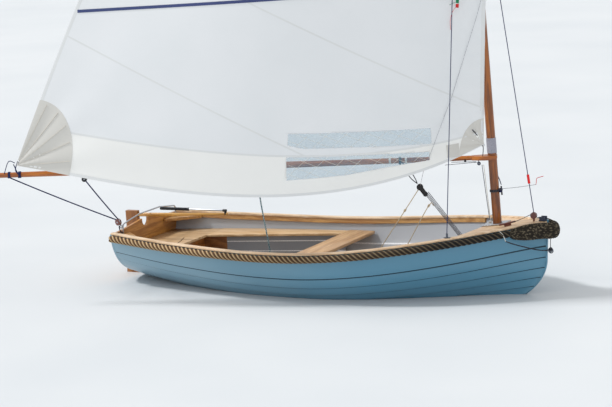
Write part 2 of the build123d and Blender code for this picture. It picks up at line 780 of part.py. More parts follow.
def quarter_knees():
    half = moulded(HULL_AFT + 10, 1.0)[0]
    knee = plate([(HULL_AFT + 0.3, half - 14), (HULL_AFT + 0.3, half - 235), (HULL_AFT + 30, half - 235),
                  (HULL_AFT + 235, half - 40), (HULL_AFT + 235, half + 10)], SHEER_STERN - 46, SHEER_STERN - 22)
    return knee


def pintle_x():
    return HULL_AFT - TRANSOM_THICK - RUDDER_AXIS_AFT


def gudgeons():
    x = pintle_x()
    parts = Part()
    for z in PINTLE_HEIGHTS:
        eye = Pos(x, 0, z) * Cylinder(12, 14)
        arm = block(x, HULL_AFT - TRANSOM_THICK - 4, -6, 6, z - 7, z + 7)
        pad = block(HULL_AFT - TRANSOM_THICK - 4, HULL_AFT - TRANSOM_THICK - SEAT_GAP, -18, 18, z - 16, z + 16)
        parts += eye + arm + pad
        parts -= Pos(x, 0, z) * Cylinder(PINTLE_RADIUS + PIN_PLAY, 60)
    return parts


def rudder_outline():
    x = pintle_x()
    return [(x - 4, RUDDER_HEAD_TOP), (x - 108, RUDDER_HEAD_TOP), (x - 106, 390), (x - 120, 100),
            (x - 135, -60), (x - 120, -130), (x - 30, -130), (x - 14, -60), (x - 14, 365), (x - 4, 400)]


def rudder_stock():
    half = CHEEK_GAP / 2
    body = slab(rudder_outline(), -half - CHEEK_THICK, half + CHEEK_THICK)
    x = pintle_x()
    well = block(x - 400, x + 100, -half, half, -300, 60)
    pin = Pos(x - BLADE_PIVOT_AFT, 0, BLADE_PIVOT_Z) * Rot(90, 0, 0) * Cylinder(6, CHEEK_GAP + 2)
    mortise = block(x - 90, x + 10, -TILLER_WIDTH / 2 - 0.3, TILLER_WIDTH / 2 + 0.3,
                    TILLER_Z - TILLER_DEPTH / 2 - 6, TILLER_Z + TILLER_DEPTH / 2 + 1)
    return body - well + pin - mortise


def pintles():
    x = pintle_x()
    parts = Part()
    for z in PINTLE_HEIGHTS:
        pin = Pos(x, 0, z + 2) * Cylinder(PINTLE_RADIUS, 40)
        strap = block(x - 13.7, x, -5, 5, z + 9, z + 20)
        parts += pin + strap
    return parts


def rudder_blade():
    x = pintle_x() - BLADE_PIVOT_AFT
    z = BLADE_PIVOT_Z
    outline = [(x + 40, z + 30), (x + 20, z + 50), (x - 30, z + 45), (x - 60, z - 40), (x - 112, z - 220),
               (x - 98, z - BLADE_LENGTH + 60), (x - 25, z - BLADE_LENGTH), (x + 45, z - BLADE_LENGTH + 60),
               (x + 78, z - 220), (x + 62, z - 60)]
    blade = slab(outline, -BLADE_THICK / 2, BLADE_THICK / 2)
    hole = Pos(x, 0, z) * Rot(90, 0, 0) * Cylinder(6 + PIN_PLAY, 60)
    return blade - hole


def tiller_frame():
    return Pos(pintle_x() - 88, 0, TILLER_Z - 5) * Rot(0, -TILLER_RISE, 0)


def tiller():
    wires = []
    for run, scale in ((0, 0.9), (120, 1.0), (500, 0.85), (TILLER_LENGTH, 0.62)):
        w, d = TILLER_WIDTH * scale / 2, TILLER_DEPTH * scale / 2
        wires.append(Wire.make_polygon([Vector(run, a * w, b * d) for a, b in
                                        ((-1, -0.6), (-0.6, -1), (0.6, -1), (1, -0.6), (1, 0.6), (0.6, 1),
                                         (-0.6, 1), (-1, 0.6))], close=True))
    return tiller_frame() * Solid.make_loft(wires, ruled=True)


def tiller_extension():
    base = tiller_frame() * Pos(TILLER_LENGTH - 66, 0, 0)
    tube = Pos(0, 0, 30) * Rot(0, -90, 0) * Solid.make_cylinder(7, 500)
    grip = Pos(-325, 0, 30) * Rot(0, -90, 0) * Solid.make_cylinder(12, 195)
    joint = Pos(0, 0, 10.3) * Solid.make_cylinder(8, 27)
    return base * (tube + grip + joint)


def stem_ring():
    x = stem_x(EYE_Z) + STEM_MOULDING
    eye = Pos(x + SEAT_GAP + EYE_SHANK + EYE_OUTER, 0, EYE_Z) * Rot(90, 0, 0) * (
        Cylinder(EYE_OUTER, EYE_THICK) - Cylinder(EYE_BORE, EYE_THICK + 2))
    shank = Pos(x + SEAT_GAP, 0, EYE_Z) * Rot(0, 90, 0) * Solid.make_cylinder(EYE_THICK / 2, EYE_SHANK + 2)
    return eye + shank


def all_pieces():
    inner = interior(top=60.0)
    low_inner = interior()
    outer = hull_body(SEAT_GAP)
    cap = gunwale_cap()
    inner_rail = inwale(low_inner)
    rope = rope_fender()
    bench = side_bench(low_inner)
    panel = bench_panel(low_inner)
    knee = (quarter_knees() & low_inner) - inner_rail
    post = stem()
    starboard = lambda piece: mirror(piece, Plane.XZ)
    return {
        "hull_planking": hull_planking(),
        "keel_skeg": keel(outer) - post,
        "stem": post,
        "transom": transom(),
        "gunwale_port": cap,
        "gunwale_starboard": starboard(cap),
        "inwale_port": inner_rail,
        "inwale_starboard": starboard(inner_rail),
        "rope_fender": Compound(children=[rope, starboard(rope)]),
        "bow_fender": bow_fender() - outer - post - cap - starboard(cap),
        "foredeck": foredeck(low_inner),
        "deck_beam": deck_beam(low_inner),
        "mast_plate": mast_plate(),
        "deck_cleat": deck_cleat(),
        "bow_fairlead": bow_fairlead(),
        "stem_ring": stem_ring(),
        "stern_seat": stern_seat(low_inner),
        "bench_port": bench,
        "bench_starboard": starboard(bench),
        "stern_panel": stern_panel(low_inner),
        "bench_panel_port": panel,
        "bench_panel_starboard": starboard(panel),
        "thwart": thwart(low_inner),
        "centreboard_case": centreboard_case(low_inner),
        "floorboards": floorboards(low_inner),
        "mast_step": mast_step(low_inner),
        "quarter_knees": Compound(children=[knee, starboard(knee)]),
        "gudgeons": gudgeons(),
        "sheet_horse": sheet_horse(),
        "chainplates": chainplates(),
        "mast": mast(),
        "mast_sleeve": mast_sleeve(),
        "mast_cleat": mast_cleat(),
        "masthead_band": masthead_band(),
        "shroud_port": shroud_port(),
        "shroud_starboard": shroud_starboard(),
        "forestay": forestay(),
        "forestay_block": forestay_block(),
        "rudder_stock": rudder_stock(),
        "pintles": pintles(),
        "tiller": tiller(),
        "tiller_extension": tiller_extension(),
        "rudder_blade": rudder_blade(),
        "centreboard": centreboard(),
        "boom": boom(),
        "boom_jaws": boom_jaws(),
        "yard": yard(),
        "yard_ring": yard_ring(),
        "sail": sail(),
        "sail_windows": sail_windows(),
    }


os.makedirs("parts", exist_ok=True)
for name, piece in all_pieces().items():
    export_step(piece, f"parts/{name}.step")
    print(name, round(piece.volume / 1000), "cm3")
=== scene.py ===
import json
import math
import bpy
import bmesh
from mathutils import Matrix, Vector, geometry

# A clinker dinghy under a standing lug sail. Metres, +X to the bow, +Y to port, +Z up.
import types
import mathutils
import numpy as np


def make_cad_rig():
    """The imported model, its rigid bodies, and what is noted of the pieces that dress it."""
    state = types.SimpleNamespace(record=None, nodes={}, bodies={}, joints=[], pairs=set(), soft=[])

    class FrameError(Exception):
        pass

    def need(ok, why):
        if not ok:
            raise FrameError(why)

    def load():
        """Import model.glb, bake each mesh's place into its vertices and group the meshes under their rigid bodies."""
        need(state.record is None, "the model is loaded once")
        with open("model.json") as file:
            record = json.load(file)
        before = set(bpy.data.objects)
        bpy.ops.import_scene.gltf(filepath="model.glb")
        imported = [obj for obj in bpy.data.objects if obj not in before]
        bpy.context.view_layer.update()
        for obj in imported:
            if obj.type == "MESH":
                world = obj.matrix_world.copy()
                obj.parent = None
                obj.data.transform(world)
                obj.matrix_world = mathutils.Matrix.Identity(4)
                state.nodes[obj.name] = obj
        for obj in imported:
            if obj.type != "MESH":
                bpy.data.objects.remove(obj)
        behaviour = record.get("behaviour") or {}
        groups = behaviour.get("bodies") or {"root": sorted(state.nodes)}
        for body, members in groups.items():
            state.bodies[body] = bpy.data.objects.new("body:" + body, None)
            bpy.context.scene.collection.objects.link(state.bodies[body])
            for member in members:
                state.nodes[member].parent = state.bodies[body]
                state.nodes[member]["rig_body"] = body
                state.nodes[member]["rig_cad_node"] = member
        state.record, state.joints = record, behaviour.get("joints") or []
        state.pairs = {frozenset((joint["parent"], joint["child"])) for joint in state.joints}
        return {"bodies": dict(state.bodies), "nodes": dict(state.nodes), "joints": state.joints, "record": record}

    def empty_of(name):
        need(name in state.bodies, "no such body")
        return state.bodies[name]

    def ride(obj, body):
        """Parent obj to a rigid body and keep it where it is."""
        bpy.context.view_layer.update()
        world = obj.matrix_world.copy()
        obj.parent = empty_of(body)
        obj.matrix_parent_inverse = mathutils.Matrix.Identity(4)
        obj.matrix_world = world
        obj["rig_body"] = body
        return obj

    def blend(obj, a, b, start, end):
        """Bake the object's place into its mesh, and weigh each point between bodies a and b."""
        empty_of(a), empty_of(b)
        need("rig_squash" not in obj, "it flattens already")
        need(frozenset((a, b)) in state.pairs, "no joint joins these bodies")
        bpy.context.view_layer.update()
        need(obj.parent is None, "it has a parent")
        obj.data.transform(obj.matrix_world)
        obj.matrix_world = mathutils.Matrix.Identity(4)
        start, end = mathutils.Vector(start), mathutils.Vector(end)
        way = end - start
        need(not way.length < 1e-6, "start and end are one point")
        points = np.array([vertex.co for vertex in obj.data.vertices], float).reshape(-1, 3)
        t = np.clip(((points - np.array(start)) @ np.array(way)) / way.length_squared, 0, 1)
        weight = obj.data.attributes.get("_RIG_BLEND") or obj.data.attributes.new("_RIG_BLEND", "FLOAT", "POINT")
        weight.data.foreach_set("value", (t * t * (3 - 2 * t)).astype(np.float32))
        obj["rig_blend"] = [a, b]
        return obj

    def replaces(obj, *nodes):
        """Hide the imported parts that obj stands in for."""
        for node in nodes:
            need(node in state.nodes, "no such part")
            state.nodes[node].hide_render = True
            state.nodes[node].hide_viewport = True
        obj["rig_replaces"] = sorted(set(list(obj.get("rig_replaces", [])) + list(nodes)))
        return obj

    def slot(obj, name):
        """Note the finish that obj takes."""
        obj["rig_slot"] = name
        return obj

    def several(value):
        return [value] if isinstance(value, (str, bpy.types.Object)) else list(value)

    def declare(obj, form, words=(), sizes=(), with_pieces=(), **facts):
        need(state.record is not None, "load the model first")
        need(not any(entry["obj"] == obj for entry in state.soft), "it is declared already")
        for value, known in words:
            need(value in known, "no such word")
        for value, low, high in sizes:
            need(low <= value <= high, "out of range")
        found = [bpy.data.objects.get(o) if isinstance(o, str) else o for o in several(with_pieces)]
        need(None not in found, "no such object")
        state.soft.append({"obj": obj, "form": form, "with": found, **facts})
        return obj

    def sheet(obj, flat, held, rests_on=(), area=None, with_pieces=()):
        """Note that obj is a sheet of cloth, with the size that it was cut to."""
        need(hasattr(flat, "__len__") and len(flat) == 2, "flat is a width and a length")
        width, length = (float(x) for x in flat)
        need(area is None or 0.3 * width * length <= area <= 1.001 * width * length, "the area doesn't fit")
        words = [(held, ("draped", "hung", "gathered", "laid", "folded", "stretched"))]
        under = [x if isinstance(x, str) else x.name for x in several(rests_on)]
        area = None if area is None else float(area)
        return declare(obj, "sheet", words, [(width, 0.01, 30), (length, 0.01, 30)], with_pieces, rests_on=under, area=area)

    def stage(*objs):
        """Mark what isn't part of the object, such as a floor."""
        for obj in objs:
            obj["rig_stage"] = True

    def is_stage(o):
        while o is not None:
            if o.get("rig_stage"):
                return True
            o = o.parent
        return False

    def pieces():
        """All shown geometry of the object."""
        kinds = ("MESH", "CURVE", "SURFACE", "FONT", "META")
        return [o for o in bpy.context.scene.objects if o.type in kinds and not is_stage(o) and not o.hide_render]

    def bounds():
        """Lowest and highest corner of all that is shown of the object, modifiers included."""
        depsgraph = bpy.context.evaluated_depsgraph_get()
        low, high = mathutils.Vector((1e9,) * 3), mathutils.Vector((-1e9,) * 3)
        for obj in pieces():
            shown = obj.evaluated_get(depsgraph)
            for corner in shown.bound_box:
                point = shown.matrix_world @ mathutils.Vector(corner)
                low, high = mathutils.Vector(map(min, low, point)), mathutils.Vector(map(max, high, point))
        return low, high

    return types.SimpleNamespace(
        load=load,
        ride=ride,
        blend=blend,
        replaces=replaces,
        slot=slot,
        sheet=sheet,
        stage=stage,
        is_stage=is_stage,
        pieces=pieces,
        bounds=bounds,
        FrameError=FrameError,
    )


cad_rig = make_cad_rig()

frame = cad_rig.load()
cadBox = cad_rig.bounds()
collection = bpy.context.scene.collection

# Camera

cameraSpec = {"place": (8.182, -15.892, 3.874), "turn": (79.695, 3.060, 27.385), "lens": 141.18}


def makeCamera():
    lensData = bpy.data.cameras.new("camera")
    lensData.lens = cameraSpec["lens"]
    lensData.clip_end = 200
    camera = bpy.data.objects.new("camera", lensData)
    camera.location = cameraSpec["place"]
    camera.rotation_euler = [math.radians(a) for a in cameraSpec["turn"]]
    collection.objects.link(camera)
    bpy.context.scene.camera = camera


makeCamera()
print("camera set")

# Materials

def tint(red, green, blue):
    return tuple((c / 255) ** 2.2 for c in (red, green, blue))


def newMaterial(name, base, rough, **sockets):
    mat = bpy.data.materials.new(name)
    mat.use_nodes = True
    shader = mat.node_tree.nodes["Principled BSDF"]
    shader.inputs["Base Color"].default_value = (*tint(*base), 1)
    shader.inputs["Roughness"].default_value = rough
    for key, value in sockets.items():
        shader.inputs[key.replace("_", " ")].default_value = value
    return mat


def node(mat, kind, inputs=None, **settings):
    made = mat.node_tree.nodes.new(kind)
    for key, value in settings.items():
        setattr(made, key, value)
    for key, value in (inputs or {}).items():
        if isinstance(value, bpy.types.NodeSocket):
            mat.node_tree.links.new(value, made.inputs[key])
        else:
            made.inputs[key].default_value = value
    return made


def feed(mat, socket, key):
    mat.node_tree.links.new(socket, mat.node_tree.nodes["Principled BSDF"].inputs[key])


def ramp(mat, factor, stops):
    made = node(mat, "ShaderNodeValToRGB", {"Fac": factor})
    while len(made.color_ramp.elements) < len(stops):
        made.color_ramp.elements.new(0.5)
    for element, (place, colour) in zip(made.color_ramp.elements, stops):
        element.position = place
        element.color = (*tint(*colour), 1)
    return made.outputs["Color"]


def bump(mat, height, strength, distance):
    made = node(mat, "ShaderNodeBump", {"Height": height, "Strength": strength, "Distance": distance})
    feed(mat, made.outputs["Normal"], "Normal")


def objectPlace(mat, scale=(1, 1, 1), turn=(0, 0, 0)):
    coords = node(mat, "ShaderNodeTexCoord")
    turned = node(mat, "ShaderNodeMapping", {"Vector": coords.outputs["Object"]})
    turned.inputs["Rotation"].default_value = [math.radians(a) for a in turn]
    stretched = node(mat, "ShaderNodeMapping", {"Vector": turned.outputs["Vector"]})
    stretched.inputs["Scale"].default_value = scale
    return stretched.outputs["Vector"]


def woodMaterial(name, light, dark, rough, turn=(0, 0, 0), coat=0.0, grain=1.0):
    mat = newMaterial(name, light, rough, Coat_Weight=coat, Coat_Roughness=0.12)
    place = objectPlace(mat, (1.1, 16, 16), turn)
    bands = node(mat, "ShaderNodeTexNoise", {"Vector": place, "Scale": 2.2, "Detail": 5.0, "Distortion": 0.6})
    fine = node(mat, "ShaderNodeTexNoise", {"Vector": place, "Scale": 15.0, "Detail": 4.0})
    figure = node(mat, "ShaderNodeMath", {0: bands.outputs["Fac"], 1: 0.72}, operation="MULTIPLY")
    both = node(mat, "ShaderNodeMath", {0: fine.outputs["Fac"], 1: 0.28, 2: figure.outputs[0]},
                operation="MULTIPLY_ADD")
    middle = [(a + b) / 2 for a, b in zip(light, dark)]
    colour = ramp(mat, both.outputs[0], ((0.36, dark), (0.5, middle), (0.60, light)))
    feed(mat, colour, "Base Color")
    bump(mat, both.outputs[0], 0.12 * grain, 0.002)
    return mat


def glossMaterial(name, light, dark, rough, coat):
    mat = newMaterial(name, light, rough, Coat_Weight=coat, Coat_Roughness=0.08)
    patches = node(mat, "ShaderNodeTexNoise", {"Vector": objectPlace(mat), "Scale": 1.6, "Detail": 3.0})
    feed(mat, ramp(mat, patches.outputs["Fac"], ((0.3, dark), (0.7, light))), "Base Color")
    orange = node(mat, "ShaderNodeTexNoise", {"Vector": objectPlace(mat), "Scale": 60.0, "Detail": 1.0})
    bump(mat, orange.outputs["Fac"], 0.03, 0.002)
    return mat


def hullMaterial(name, aft, fore, rough, coat):
    mat = newMaterial(name, aft, rough, Coat_Weight=coat, Coat_Roughness=0.08)
    place = objectPlace(mat)
    # Painted shade: the blue darkens from the aft colour to the fore colour along X, as the bow lies in shade; the
    # noise adds a random mottle
    ahead = node(mat, "ShaderNodeSeparateXYZ", {"Vector": place})
    blend = node(mat, "ShaderNodeMapRange", {"Value": ahead.outputs["X"], "From Min": -1.5, "From Max": 1.0})
    patches = node(mat, "ShaderNodeTexNoise", {"Vector": place, "Scale": 1.6, "Detail": 3.0})
    both = node(mat, "ShaderNodeMath", {0: patches.outputs["Fac"], 1: 0.35, 2: blend.outputs["Result"]},
                operation="MULTIPLY_ADD")
    feed(mat, ramp(mat, both.outputs[0], ((0.15, aft), (1.0, fore))), "Base Color")
    ripple = node(mat, "ShaderNodeTexNoise", {"Vector": place, "Scale": 60.0, "Detail": 1.0})
    bump(mat, ripple.outputs["Fac"], 0.03, 0.002)
    return mat


def metalMaterial(name, base, rough):
    mat = newMaterial(name, base, rough, Metallic=1.0)
    brushed = node(mat, "ShaderNodeTexNoise",
                   {"Vector": objectPlace(mat, (1, 1, 12)), "Scale": 90.0, "Detail": 2.0})
    marks = node(mat, "ShaderNodeMapRange",
                 {"Value": brushed.outputs["Fac"], "To Min": rough - 0.08, "To Max": rough + 0.1})
    feed(mat, marks.outputs["Result"], "Roughness")
    return mat


def plasticMaterial(name, base, rough):
    mat = newMaterial(name, base, rough)
    fine = node(mat, "ShaderNodeTexNoise", {"Vector": objectPlace(mat), "Scale": 220.0, "Detail": 2.0})
    bump(mat, fine.outputs["Fac"], 0.10, 0.0006)
    paler = [min(255, c * 1.25 + 6) for c in base]
    feed(mat, ramp(mat, fine.outputs["Fac"], ((0.35, base), (0.7, paler))), "Base Color")
    return mat


def lineMaterial(name, base, fleck, share=0.6):
    mat = newMaterial(name, base, 0.8)
    strands = node(mat, "ShaderNodeTexVoronoi", {"Vector": objectPlace(mat), "Scale": 260.0})
    stops = ((0.0, base), (share, base), (min(1, share + 0.15), fleck))
    feed(mat, ramp(mat, strands.outputs["Distance"], stops), "Base Color")
    bump(mat, strands.outputs["Distance"], 0.4, 0.001)
    return mat


# Hull gelcoat: one blue, darkened towards the bow as painted shade
gelcoatBlue = hullMaterial("gelcoatBlue", (132, 164, 180), (86, 138, 164), 0.3, 0.3)
gelcoatGrey = glossMaterial("gelcoatGrey", (172, 175, 180), (160, 164, 170), 0.5, 0.1)
# Grey hull side below the benches: a darker copy of the inside gelcoat grey, as painted shade
panelGrey = glossMaterial("panelGrey", (138, 142, 148), (126, 130, 138), 0.5, 0.1)
# Dark lap lines outside: painted shade under each land
landShade = plasticMaterial("landShade", (30, 52, 62), 0.7)
# Pale lap lines inside: painted highlight along each land
lapHighlightInside = plasticMaterial("lapHighlightInside", (206, 208, 212), 0.6)
capWood = woodMaterial("capWood", (226, 200, 168), (186, 152, 116), 0.55, coat=0.1)
deckWood = woodMaterial("deckWood", (224, 192, 154), (192, 154, 114), 0.5, coat=0.15)
benchWood = woodMaterial("benchWood", (218, 186, 144), (184, 146, 102), 0.45, coat=0.2)
thwartWood = woodMaterial("thwartWood", (200, 160, 112), (158, 116, 74), 0.45, turn=(0, 0, 90), coat=0.2)
varnishLong = woodMaterial("varnishLong", (196, 150, 90), (150, 104, 56), 0.35, coat=0.4)
panelWood = woodMaterial("panelWood", (150, 100, 56), (104, 64, 32), 0.45, coat=0.2)
varnishAcross = woodMaterial("varnishAcross", (182, 118, 58), (128, 76, 34), 0.35, turn=(0, 0, 90), coat=0.5)
varnishUp = woodMaterial("varnishUp", (164, 108, 54), (114, 68, 30), 0.4, turn=(0, 90, 0), coat=0.3)
transomWood = woodMaterial("transomWood", (190, 134, 68), (142, 90, 38), 0.4, turn=(0, 0, 90), coat=0.4)
tillerWood = woodMaterial("tillerWood", (222, 172, 92), (184, 130, 60), 0.3, coat=0.6)
mastWood = woodMaterial("mastWood", (160, 90, 22), (88, 44, 10), 0.32, turn=(0, 90, 0), coat=0.5)
boomWood = woodMaterial("boomWood", (196, 112, 22), (128, 64, 12), 0.32, turn=(0, 0, -21), coat=0.5)
yardWood = woodMaterial("yardWood", (190, 114, 34), (126, 66, 18), 0.32, turn=(0, 68, 0), coat=0.5)
steel = metalMaterial("steel", (186, 190, 196), 0.28)
alloy = metalMaterial("alloy", (186, 190, 196), 0.35)
darkSteel = metalMaterial("darkSteel", (92, 98, 108), 0.35)
sleevePaint = plasticMaterial("sleevePaint", (132, 132, 142), 0.4)
blockWood = glossMaterial("blockWood", (128, 62, 46), (78, 34, 26), 0.3, 0.6)
blueBlack = plasticMaterial("blueBlack", (30, 38, 56), 0.4)
foamGrip = plasticMaterial("foamGrip", (26, 28, 32), 0.85)
blackPlastic = plasticMaterial("blackPlastic", (22, 22, 24), 0.45)
whitePlastic = plasticMaterial("whitePlastic", (226, 228, 230), 0.35)
navyLine = lineMaterial("navyLine", (10, 30, 80), (40, 64, 116), 0.8)
tealLine = lineMaterial("tealLine", (22, 80, 98), (196, 210, 206), 0.55)
whiteLine = lineMaterial("whiteLine", (222, 220, 210), (180, 178, 170))
beigeLine = lineMaterial("beigeLine", (196, 178, 148), (150, 130, 104))
blackLine = lineMaterial("blackLine", (34, 34, 40), (80, 80, 90))
greyLine = lineMaterial("greyLine", (78, 80, 88), (170, 172, 178), 0.62)
redLine = lineMaterial("redLine", (206, 22, 26), (226, 90, 84))
greenLine = lineMaterial("greenLine", (18, 128, 84), (90, 170, 130))
print("materials made")


# Mesh helpers

def deselectAll():
    if bpy.context.object and bpy.context.object.mode != "OBJECT":
        bpy.ops.object.mode_set(mode="OBJECT")
    bpy.ops.object.select_all(action="DESELECT")


def pick(obj):
    deselectAll()
    obj.select_set(True)
    bpy.context.view_layer.objects.active = obj


def applied(obj, kind, **settings):
    pick(obj)
    modifier = obj.modifiers.new(kind.lower(), kind)
    for key, value in settings.items():
        setattr(modifier, key, value)
    bpy.ops.object.modifier_apply(modifier=modifier.name)


def smoothed(obj, angle=35):
    pick(obj)
    bpy.ops.object.shade_smooth_by_angle(angle=math.radians(angle))


def settled(obj):
    pick(obj)
    bpy.ops.object.transform_apply(location=True, rotation=True, scale=True)


# Merges doubles and turns the faces outwards
def mended(piece, merge=None, outwards=True):
    pick(piece)
    bpy.ops.object.mode_set(mode="EDIT")
    bpy.ops.mesh.select_all(action="SELECT")
    if merge:
        bpy.ops.mesh.remove_doubles(threshold=merge)
    if outwards:
        bpy.ops.mesh.normals_make_consistent(inside=False)
    bpy.ops.object.mode_set(mode="OBJECT")


def meshPiece(name, points, faces, mat, uvs=None):
    mesh = bpy.data.meshes.new(name)
    mesh.from_pydata([tuple(p) for p in points], [], faces)
    if uvs:
        layer = mesh.uv_layers.new(name="lay")
        flat = [value for uv in uvs for value in uv]
        layer.data.foreach_set("uv", flat)
    mesh.update()
    piece = bpy.data.objects.new(name, mesh)
    collection.objects.link(piece)
    piece.data.materials.append(mat)
    return piece


def workedCopy(nodeName, name, body, mat, bevel=0.0, angle=35):
    pick(frame["nodes"][nodeName])
    bpy.ops.object.duplicate()
    piece = bpy.context.object
    piece.name = name
    piece.parent = None
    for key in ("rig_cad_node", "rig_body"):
        if key in piece:
            del piece[key]
    bpy.ops.object.mode_set(mode="EDIT")
    bpy.ops.mesh.select_all(action="SELECT")
    bpy.ops.mesh.remove_doubles(threshold=0.00002)
    bpy.ops.mesh.dissolve_limited(angle_limit=math.radians(0.5))
    bpy.ops.object.mode_set(mode="OBJECT")
    if bevel:
        applied(piece, "BEVEL", width=bevel, segments=2, limit_method="ANGLE", angle_limit=math.radians(40))
    smoothed(piece, angle)
    piece.data.materials.clear()
    piece.data.materials.append(mat)
    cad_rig.replaces(piece, nodeName)
    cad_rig.ride(piece, body)
    return piece


def smoothPath(points, step):
    pts = [Vector(p) for p in points]
    pts = [pts[0] * 2 - pts[1]] + pts + [pts[-1] * 2 - pts[-2]]
    dense = []
    for a, b, c, d in zip(pts, pts[1:], pts[2:], pts[3:]):
        count = max(4, int((c - b).length / step * 3))
        for k in range(count):
            t = k / count
            dense.append(0.5 * ((2 * b) + (c - a) * t + (2 * a - 5 * b + 4 * c - d) * t ** 2
                                + (3 * b - a - 3 * c + d) * t ** 3))
    dense.append(pts[-2])
    path, travelled = [dense[0]], 0.0
    for a, b in zip(dense, dense[1:]):
        travelled += (b - a).length
        if travelled >= step:
            path.append(b)
            travelled = 0.0
    path[-1] = dense[-1]
    return path


def sweep(name, path, outline, mat, across=1.0, lay=0.0, carried=False):
    points, faces, uvs = [], [], []
    side = None
    distance, distances = 0.0, []
    for k, place in enumerate(path):
        if k:
            distance += (place - path[k - 1]).length
        distances.append(distance)
        ahead = (path[min(k + 1, len(path) - 1)] - path[max(k - 1, 0)]).normalized()
        if carried and side:
            side = (side - ahead * side.dot(ahead)).normalized()
        else:
            side = ahead.cross(Vector((0, 0, 1)))
            side = side.normalized() if side.length > 0.01 else Vector((0, 1, 0))
        up = side.cross(ahead)
        ring = outline(distance, k / (len(path) - 1))
        points += [place + side * a + up * b for a, b in ring]
    count = len(ring)
    for k in range(len(path) - 1):
        for j in range(count):
            a, b = k * count + j, k * count + (j + 1) % count
            faces.append((a, b, b + count, a + count))
            for column, row in ((j, k), (j + 1, k), (j + 1, k + 1), (j, k + 1)):
                twist = distances[row] / lay if lay else 0.0
                uvs.append(((column / count - twist) * across, distances[row]))
    for first, step in ((0, -1), ((len(path) - 1) * count, 1)):
        ends = [first + j for j in range(count)]
        faces.append(tuple(ends[::step]))
        uvs += [(0.5, 0.0)] * count
    return meshPiece(name, points, faces, mat, uvs)


def roundOutline(radius, sides=12):
    ring = [(radius * math.cos(2 * math.pi * k / sides), radius * math.sin(2 * math.pi * k / sides))
            for k in range(sides)]
    return lambda distance, share: ring


def line(name, points, radius, mat, body, step=0.03, sides=8, straight=False):
    path = [Vector(p) for p in points] if straight else smoothPath(points, step)
    piece = sweep(name, path, roundOutline(radius, sides), mat, carried=True)
    smoothed(piece, 60)
    if body:
        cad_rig.ride(piece, body)
    return piece


# The hull's lines, from its main sizes; the sheer dips a little lower than the frame's

hullSpec = {"aft": -1.700, "fore": 1.722, "halfBeam": 0.727, "transomHalfBeam": 0.496, "frameHalfBeam": 0.516,
            "skinAft": -1.690, "sternSlim": 0.14, "slimFrom": -0.4, "widestAt": 0.50,
            "bowFullness": 2.2, "sheerStern": 0.403, "sheerLow": 0.384, "sheerBow": 0.556, "sheerLowAt": 0.30,
            "keelStern": 0.030, "keelLow": -0.135, "keelBow": -0.105, "strakes": 9, "sheerShare": 0.20,
            "land": 0.007, "wall": 0.010, "siding": 0.024, "sweep": 0.670, "depth": 0.410, "knuckle": 0.280,
            "slot": (-0.225, 0.735, 0.016), "stations": 96, "bunching": 1.25, "bowReach": (0.3, 1.75),
            "dip": ((-1.72, 0.0), (-1.45, 0.006), (-1.20, 0.013), (-0.93, 0.018), (-0.66, 0.025),
                    (-0.39, 0.031), (-0.11, 0.034), (0.02, 0.034), (0.29, 0.030), (0.56, 0.024),
                    (0.83, 0.016), (1.10, 0.010), (1.37, 0.006), (1.50, 0.007), (1.60, 0.011),
                    (1.68, 0.018), (1.74, 0.024))}


def throughTable(table, t):
    xs, ys = [row[0] for row in table], [row[1] for row in table]
    slopes = []
    for k in range(len(xs)):
        a, b = max(0, k - 1), min(len(xs) - 1, k + 1)
        slopes.append((ys[b] - ys[a]) / (xs[b] - xs[a]))
    k = min(len(xs) - 2, max(0, sum(1 for x in xs if x <= t) - 1))
    width = xs[k + 1] - xs[k]
    u = (t - xs[k]) / width
    return ((2 * u ** 3 - 3 * u ** 2 + 1) * ys[k] + (u ** 3 - 2 * u ** 2 + u) * width * slopes[k]
            + (-2 * u ** 3 + 3 * u ** 2) * ys[k + 1] + (u ** 3 - u ** 2) * width * slopes[k + 1])


def share(x):
    return (x - hullSpec["aft"]) / (hullSpec["fore"] - hullSpec["aft"])


def halfBeam(x):
    u = share(x)
    if u < hullSpec["widestAt"]:
        swell = math.sin(math.pi / 2 * u / hullSpec["widestAt"])
        return hullSpec["transomHalfBeam"] + (hullSpec["halfBeam"] - hullSpec["transomHalfBeam"]) * swell
    part = min(1.0, (u - hullSpec["widestAt"]) / (1 - hullSpec["widestAt"]))
    return hullSpec["halfBeam"] * (1 - part ** hullSpec["bowFullness"])


def sheer(x):
    u, low = share(x), hullSpec["sheerLowAt"]
    dip = throughTable(hullSpec["dip"], min(1.73, x))
    if u < low:
        rise = (hullSpec["sheerStern"] - hullSpec["sheerLow"]) * ((low - u) / low) ** 2
        return hullSpec["sheerLow"] + rise - dip
    rise = (hullSpec["sheerBow"] - hullSpec["sheerLow"]) * ((u - low) / (1 - low)) ** 2.1
    return hullSpec["sheerLow"] + rise - dip


def keelLine(x):
    u = share(x)
    end = hullSpec["keelStern"] if u < 0.5 else hullSpec["keelBow"]
    return hullSpec["keelLow"] + (end - hullSpec["keelLow"]) * ((u - 0.5) / 0.5) ** 2


def stemAt(z):
    if z > hullSpec["knuckle"]:
        return hullSpec["fore"] - (hullSpec["sheerBow"] - z) * 0.065
    knuckle = hullSpec["fore"] - (hullSpec["sheerBow"] - hullSpec["knuckle"]) * 0.065
    fall = min(1.0, (hullSpec["knuckle"] - z) / hullSpec["depth"])
    return knuckle - hullSpec["sweep"] * (1 - math.sqrt(1 - fall * fall))


